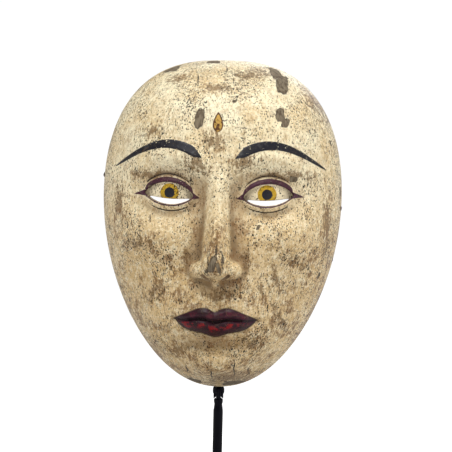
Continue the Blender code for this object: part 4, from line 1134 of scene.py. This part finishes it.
# Lengths in these profiles and constants are millimetres.
STAND_STEPS = 96
ROD_RADIUS = 3.0
ROD_SOLE = 0.6  # how long the rod's bevelled lower end is
TONGUE_RADIUS = 2.3
TONGUE_HALF = 1.32
TONGUE_FOOT = -6.2  # where the tongue ends inside the shoulders, below the pivot
TONGUE_STEPS = 33
PIN_HOLE_RADIUS = 1.5
PIN_STEPS = 48
KNOB_STEPS = 216
KNOB_RIDGES = 36
KNOB_LENGTH = 7.0
KNOB_GRIP_RADIUS = 6.3
RIDGE_DEPTH = 0.055  # a share of the knob's radius
THREAD_PITCH = 0.5
WIRE_RADIUS = 1.5
WIRE_STEPS = 20
SLEEVE_CAP = 1.6  # how far a sleeve's closed end stands past the wire's end
SLEEVE_STEPS = 40
STRAP_VOXEL, STRAP_SMOOTHING = 0.4, 6
PAD_VOXEL, PAD_SMOOTHING = 0.2, 4


def upright(node):
    """The bottom middle of an upright node, as a turn-free placing, and its height in mm."""
    low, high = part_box(node)
    middle = (low + high) / 2
    return Matrix.Translation((middle.x, middle.y, low.z)), (high.z - low.z) / MM


def add_turned(name, profile, cut, steps, place, node, slot=None, is_ring=False):
    bm = bmesh.new()
    lathe(bm, rounded(profile, cut), steps, place, is_ring)
    add_piece(name, bm, node, slot)


def build_post():
    """The flanged socket, the tube and the collar, turned fine and with rounded edges."""
    place, height = upright("post_socket")
    socket = [
        (5.3, 0), (18, 0), (18, 4), (11.2, 4), (9.7, 4.7), (9, 6.5), (9, 18.3), (9, height), (5.3, height),
    ]
    add_turned("turned_socket", socket, 0.7, STAND_STEPS, place, "post_socket", is_ring=True)
    place, height = upright("outer_tube")
    tube = [(3.3, 0), (5, 0), (5, height), (3.3, height)]
    add_turned("drawn_tube", tube, 0.25, STAND_STEPS, place, "outer_tube", is_ring=True)
    place, height = upright("lock_collar")
    collar = [
        (5.3, 0), (8, 0), (8, 2.6), (7.75, 2.8), (7.75, 3.2), (8, 3.4), (8, 9.6), (7.75, 9.8),
        (7.75, 10.2), (8, 10.4), (8, height), (3.3, height), (3.3, height - 1.7), (5.3, height - 1.7),
    ]
    add_turned("turned_collar", collar, 0.9, STAND_STEPS, place, "lock_collar", is_ring=True)


def build_rod():
    """The sliding rod. Over its waist the shoulders slope up to a flat, round-ended tongue."""
    low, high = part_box("inner_rod")
    middle = (low + high) / 2
    pivot = Matrix.Translation((middle.x, middle.y, high.z - TONGUE_RADIUS * MM))
    foot = (low.z - high.z) / MM + TONGUE_RADIUS
    profile = [
        (0.2, -4.1), (1.2, -4.2), (2.8, -5.45), (2.8, -7.2), (2.5, -8), (2.5, -9), (ROD_RADIUS, -12.5),
        (ROD_RADIUS, foot + ROD_SOLE), (ROD_RADIUS - ROD_SOLE, foot), (0.2, foot),
    ]
    bm = bmesh.new()
    lathe(bm, rounded(profile, 0.35), STAND_STEPS, pivot)
    rod = add_object("turned_rod", finish_mesh(bm, "turned_rod"))
    outline = [(-TONGUE_RADIUS, TONGUE_FOOT), (TONGUE_RADIUS, TONGUE_FOOT)]
    for angle in np.linspace(0, math.pi, TONGUE_STEPS):
        outline.append((TONGUE_RADIUS * math.cos(angle), TONGUE_RADIUS * math.sin(angle)))
    bm = bmesh.new()
    sides = []
    for x in (-TONGUE_HALF, TONGUE_HALF):
        sides.append([bm.verts.new(pivot @ (Vector((x, y, z)) * MM)) for y, z in outline])
    stitch(bm, sides)
    apply_boolean(rod, bm, "UNION")
    bm = bmesh.new()
    start = pivot @ Vector((-ROD_RADIUS * MM, 0, 0))
    add_cylinder(bm, start, Vector((1, 0, 0)), PIN_HOLE_RADIUS * MM, 2 * ROD_RADIUS * MM, 32)
    apply_boolean(rod, bm)
    bevel_edges(rod, 0.12, 50)
    stand_in(rod, "inner_rod")


def build_pin():
    """The pin that the bar tilts on, with a low rounded head outside each cheek of the fork."""
    low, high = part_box("pivot_pin")
    place = Matrix.Translation((low + high) / 2) @ Matrix.Rotation(math.pi / 2, 4, "Y")
    half = (high.x - low.x) / 2 / MM
    crown = half + 0.2
    head = [(0.1, crown), (1.2, crown - 0.05), (1.9, crown - 0.3), (2, 3.05), (1.2, 3)]
    profile = head + [(radius, -x) for radius, x in head[::-1]]
    add_turned("riveted_pivot_pin", profile, 0.15, PIN_STEPS, place, "pivot_pin", "black_steel")


def build_knob(node):
    """A thumb screw along +Y: a knurled head with a dished end, on a threaded shank."""
    low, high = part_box(node)
    middle = (low + high) / 2
    turn = Matrix.Translation((middle.x, high.y - KNOB_LENGTH * MM, middle.z))
    turn = turn @ Matrix.Rotation(-math.pi / 2, 4, "X")
    tip = (low.y - high.y) / MM + KNOB_LENGTH
    head = [(0.2, 6.4), (3.4, 6.4), (4.1, 7), (5.7, 7), (6.5, 6.2), (6.5, 1.8), (5.7, 1), (3.5, 1), (3.5, 0)]
    drop = THREAD_PITCH / 2
    threads = [(1.9 - drop * (step % 2), -drop * step) for step in range(int(-tip / drop))]
    bm = bmesh.new()
    inverse = turn.inverted()
    for vert in lathe(bm, rounded(head, 0.35) + threads + [(0.2, tip)], KNOB_STEPS, turn):
        point = inverse @ vert.co / MM
        if math.hypot(point.x, point.y) > KNOB_GRIP_RADIUS:
            ridge_height = 0.5 + 0.5 * math.cos(KNOB_RIDGES * math.atan2(point.y, point.x))
            share = 1 - RIDGE_DEPTH * (1 - ridge_height)
            vert.co = turn @ (Vector((point.x * share, point.y * share, point.z)) * MM)
    add_piece(f"knurled_{node}", bm, node)


def smooth_route(points, spacing):
    """Points along a smooth curve through the given ones, about spacing apart."""
    padded = [2 * points[0] - points[1], *points, 2 * points[-1] - points[-2]]
    route = []
    for a, b, c, d in zip(padded, padded[1:], padded[2:], padded[3:]):
        steps = max(1, round((c - b).length / spacing))
        for t in np.arange(steps) / steps:
            bend = (2 * a - 5 * b + 4 * c - d) * t**2 + (3 * b - a - 3 * c + d) * t**3
            route.append((2 * b + (c - a) * t + bend) / 2)
    route.append(points[-1])
    return route


def evened(route, passes, fixed):
    """The route with its bends evened out. Its first point and its last few stay where they are."""
    for _ in range(passes):
        moved = [(a + 2 * b + c) / 4 for a, b, c in zip(route, route[1:], route[2:])]
        route = [route[0], *moved[:-fixed], *route[-1 - fixed :]]
    return route


def sweep(bm, route, radius):
    """A round rod with closed ends along a route. Its lengths are metres."""
    rings = []
    sideways = Vector((0, 0, 1))
    for before, place, after in zip([route[0], *route], route, [*route[1:], route[-1]]):
        along = (after - before).normalized()
        sideways = (sideways - along * sideways.dot(along)).normalized()
        other = along.cross(sideways)
        ring = []
        for angle in np.arange(WIRE_STEPS) * 2 * math.pi / WIRE_STEPS:
            offset = sideways * math.cos(angle) + other * math.sin(angle)
            ring.append(bm.verts.new(place + offset * radius))
        rings.append(ring)
    stitch(bm, rings)


def build_wire(level):
    """A bent wire through the bar, out and forward into the hollow, with a rubber sleeve on each end."""
    low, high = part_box(f"{level}_wire")
    sleeve_low, sleeve_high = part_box(f"{level}_sleeve_right")
    tip = (sleeve_low + sleeve_high) / 2
    tip.z = sleeve_high.z - SLEEVE_CAP * MM
    radius = WIRE_RADIUS * MM
    start = Vector((0, high.y - radius, low.z + radius))
    depth = RIM_Y - tip.y
    rise = tip.z - start.z
    right = [
        start,
        start + Vector((6 * MM, 0, 0)),
        start + Vector((12 * MM, 0, 0)),
        Vector((tip.x * 0.78, RIM_Y - 3 * MM, start.z)),
        Vector((tip.x * 0.95, RIM_Y - depth * 0.42, start.z + 1 * MM)),
        Vector((tip.x, RIM_Y - depth * 0.8, start.z + rise * 0.3)),
        Vector((tip.x, tip.y, tip.z - 3.6 * MM)),
        tip,
    ]
    right = evened(smooth_route(right, 0.8 * MM), passes=70, fixed=3)
    left = [point * Vector((-1, 1, 1)) for point in right]
    bm = bmesh.new()
    sweep(bm, left[::-1] + right[1:], radius)
    add_piece(f"bent_{level}_wire", bm, f"{level}_wire")
    for side in ("left", "right"):
        node = f"{level}_sleeve_{side}"
        place, height = upright(node)
        bore = height - SLEEVE_CAP + 0.3
        profile = [(0.1, height), (1.5, height), (2.5, height - 1), (2.4, 0.9), (2.6, 0.5), (2.5, 0)]
        profile += [(1.8, 0), (1.8, bore), (0.1, bore)]
        add_turned(f"moulded_{node}", profile, 0.6, SLEEVE_STEPS, place, node)


def soften(node, name, voxel, smoothing, move):
    """A soft node's own solid as a piece: remeshed, its edges rounded, and each point moved."""
    piece = add_object(name, frame["nodes"][node].data.copy())
    remesh = piece.modifiers.new("remesh", "REMESH")
    remesh.mode = "VOXEL"
    remesh.voxel_size = voxel * MM
    piece.modifiers.new("smooth", "SMOOTH").iterations = smoothing
    apply_modifiers(piece)
    low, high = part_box(node)
    for vert in piece.data.vertices:
        share = [(value - least) / (most - least) for value, least, most in zip(vert.co, low, high)]
        vert.co = move(vert.co, Vector(share))
    piece.data.shade_smooth()
    stand_in(piece, node)


def bitten(point, share):
    """A point of the bite strap, moved as years of teeth and drying leave the leather."""
    up = 2 * share.z - 1
    middle = ease(abs(point.x / MM), 16, 6)
    folds = noise.noise(Vector((point.x * 160, point.y * 60, point.z * 110)))
    edge = noise.noise(Vector((point.x * 90, 7.5, 2.0 if up > 0 else 9.0)))
    tooth = abs(math.sin(point.x / MM * 0.55)) ** 3 * middle * ease(up, 0.2, -0.8)
    back = 0.35 * folds + 0.5 * up * up * middle - 0.35 * tooth
    return point + Vector((0, back, 0.55 * edge * abs(up))) * MM


def pressed(point, share):
    """A point of the felt pad, which is glued to the bar behind it and has a fuzzy, uneven face."""
    fuzz = 0.14 * noise.noise(point * 900) + 0.1 * noise.noise(point * 2600)
    return point + Vector((fuzz, 0.3 * share.y + fuzz * (1 - share.y), fuzz)) * MM


def dress_cad_nodes():
    """Every CAD node that still shows gets its slot's material and rounded edges."""
    for name, slot in SLOTS.items():
        node = frame["nodes"][name]
        if node.hide_render:
            continue
        if not node.material_slots:
            node.data.materials.append(None)
        for holder in node.material_slots:
            holder.material = MATERIALS[slot]
        node.modifiers.new("weld", "WELD").merge_threshold = 0.01 * MM
        bevel_edges(node, 0.15, 35).harden_normals = True


# ---------------------------------------------------------------- floor, light and camera


def add_area_light(name, place, target, size, power):
    light = bpy.data.lights.new(name, "AREA")
    light.shape = "RECTANGLE"
    light.size, light.size_y = size
    light.energy = power
    obj = bpy.data.objects.new(name, light)
    obj.location = place
    obj.rotation_euler = (Vector(target) - Vector(place)).to_track_quat("-Z", "Y").to_euler()
    bpy.context.scene.collection.objects.link(obj)


def build_floor():
    bm = bmesh.new()
    bmesh.ops.create_grid(bm, x_segments=12, y_segments=12, size=4.0)
    floor = add_object("floor", finish_mesh(bm, "floor"), white_floor())


HORIZON_TOP, OVERHEAD = 0.12, 0.19  # where the white ends, as the view's upward share
HORIZON_STRENGTH, OVERHEAD_STRENGTH = 1.03, 0.12


def build_world():
    """White near the horizon, and dimmer overhead, where the lamps do the work."""
    world = bpy.data.worlds.new("studio")
    bpy.context.scene.world = world
    world.use_nodes = True
    tree = world.node_tree
    coordinates = tree.nodes.new("ShaderNodeTexCoord")
    split = tree.nodes.new("ShaderNodeSeparateXYZ")
    ramp = tree.nodes.new("ShaderNodeMapRange")
    ends = (HORIZON_TOP, OVERHEAD, HORIZON_STRENGTH, OVERHEAD_STRENGTH)
    for name, value in zip(("From Min", "From Max", "To Min", "To Max"), ends):
        ramp.inputs[name].default_value = value
    background = tree.nodes["Background"]
    tree.links.new(coordinates.outputs["Generated"], split.inputs["Vector"])
    tree.links.new(split.outputs["Z"], ramp.inputs["Value"])
    tree.links.new(ramp.outputs["Result"], background.inputs["Strength"])
    background.inputs["Color"].default_value = (1, 1, 1, 1)


CAMERA_DISTANCE = 1.3
CAMERA_AZIMUTH = math.radians(2.5)
CAMERA_ROLL = math.radians(1.3)
FRAME_WIDTH = 0.2765  # what the picture takes in near the mask's rim
AIM_RIGHT = 0.0027
AIM_DOWN = 0.0015


def build_camera():
    data = bpy.data.cameras.new("camera")
    data.lens = data.sensor_width * CAMERA_DISTANCE / FRAME_WIDTH
    camera = bpy.data.objects.new("camera", data)
    bpy.context.scene.collection.objects.link(camera)
    bpy.context.scene.camera = camera
    target = on_mask(0, 5, MASK_HEIGHT / 2) + Vector((AIM_RIGHT, 0, -AIM_DOWN))
    back = Vector((math.sin(CAMERA_AZIMUTH), -math.cos(CAMERA_AZIMUTH), 0))
    camera.location = target + back * CAMERA_DISTANCE
    roll = Quaternion((0, 0, 1), CAMERA_ROLL)
    camera.rotation_mode = "QUATERNION"
    camera.rotation_quaternion = (-back).to_track_quat("-Z", "Y") @ roll


def build_lights():
    middle = (0, 0, 0.23)
    add_area_light("key", (-0.30, -0.60, 1.32), middle, (0.45, 0.35), 9.8)
    add_area_light("top", (0.3, -0.25, 1.4), middle, (0.6, 0.5), 8)
    add_area_light("fill", (1.0, -0.4, 0.5), middle, (0.6, 0.6), 2.6)
    add_area_light("rear", (0.3, 1.1, 0.9), middle, (0.8, 0.6), 9)


def main():
    bpy.context.scene.view_settings.view_transform = "Standard"
    build_mask()
    build_post()
    build_rod()
    build_knob("socket_thumb_screw")
    build_knob("collar_thumb_screw")
    build_wire("upper")
    build_wire("lower")
    build_pin()
    soften("bite_strap", "worn_bite_strap", STRAP_VOXEL, STRAP_SMOOTHING, bitten)
    soften("chin_pad", "felt_chin_pad", PAD_VOXEL, PAD_SMOOTHING, pressed)
    dress_cad_nodes()
    build_floor()
    build_world()
    build_lights()
    build_camera()


main()
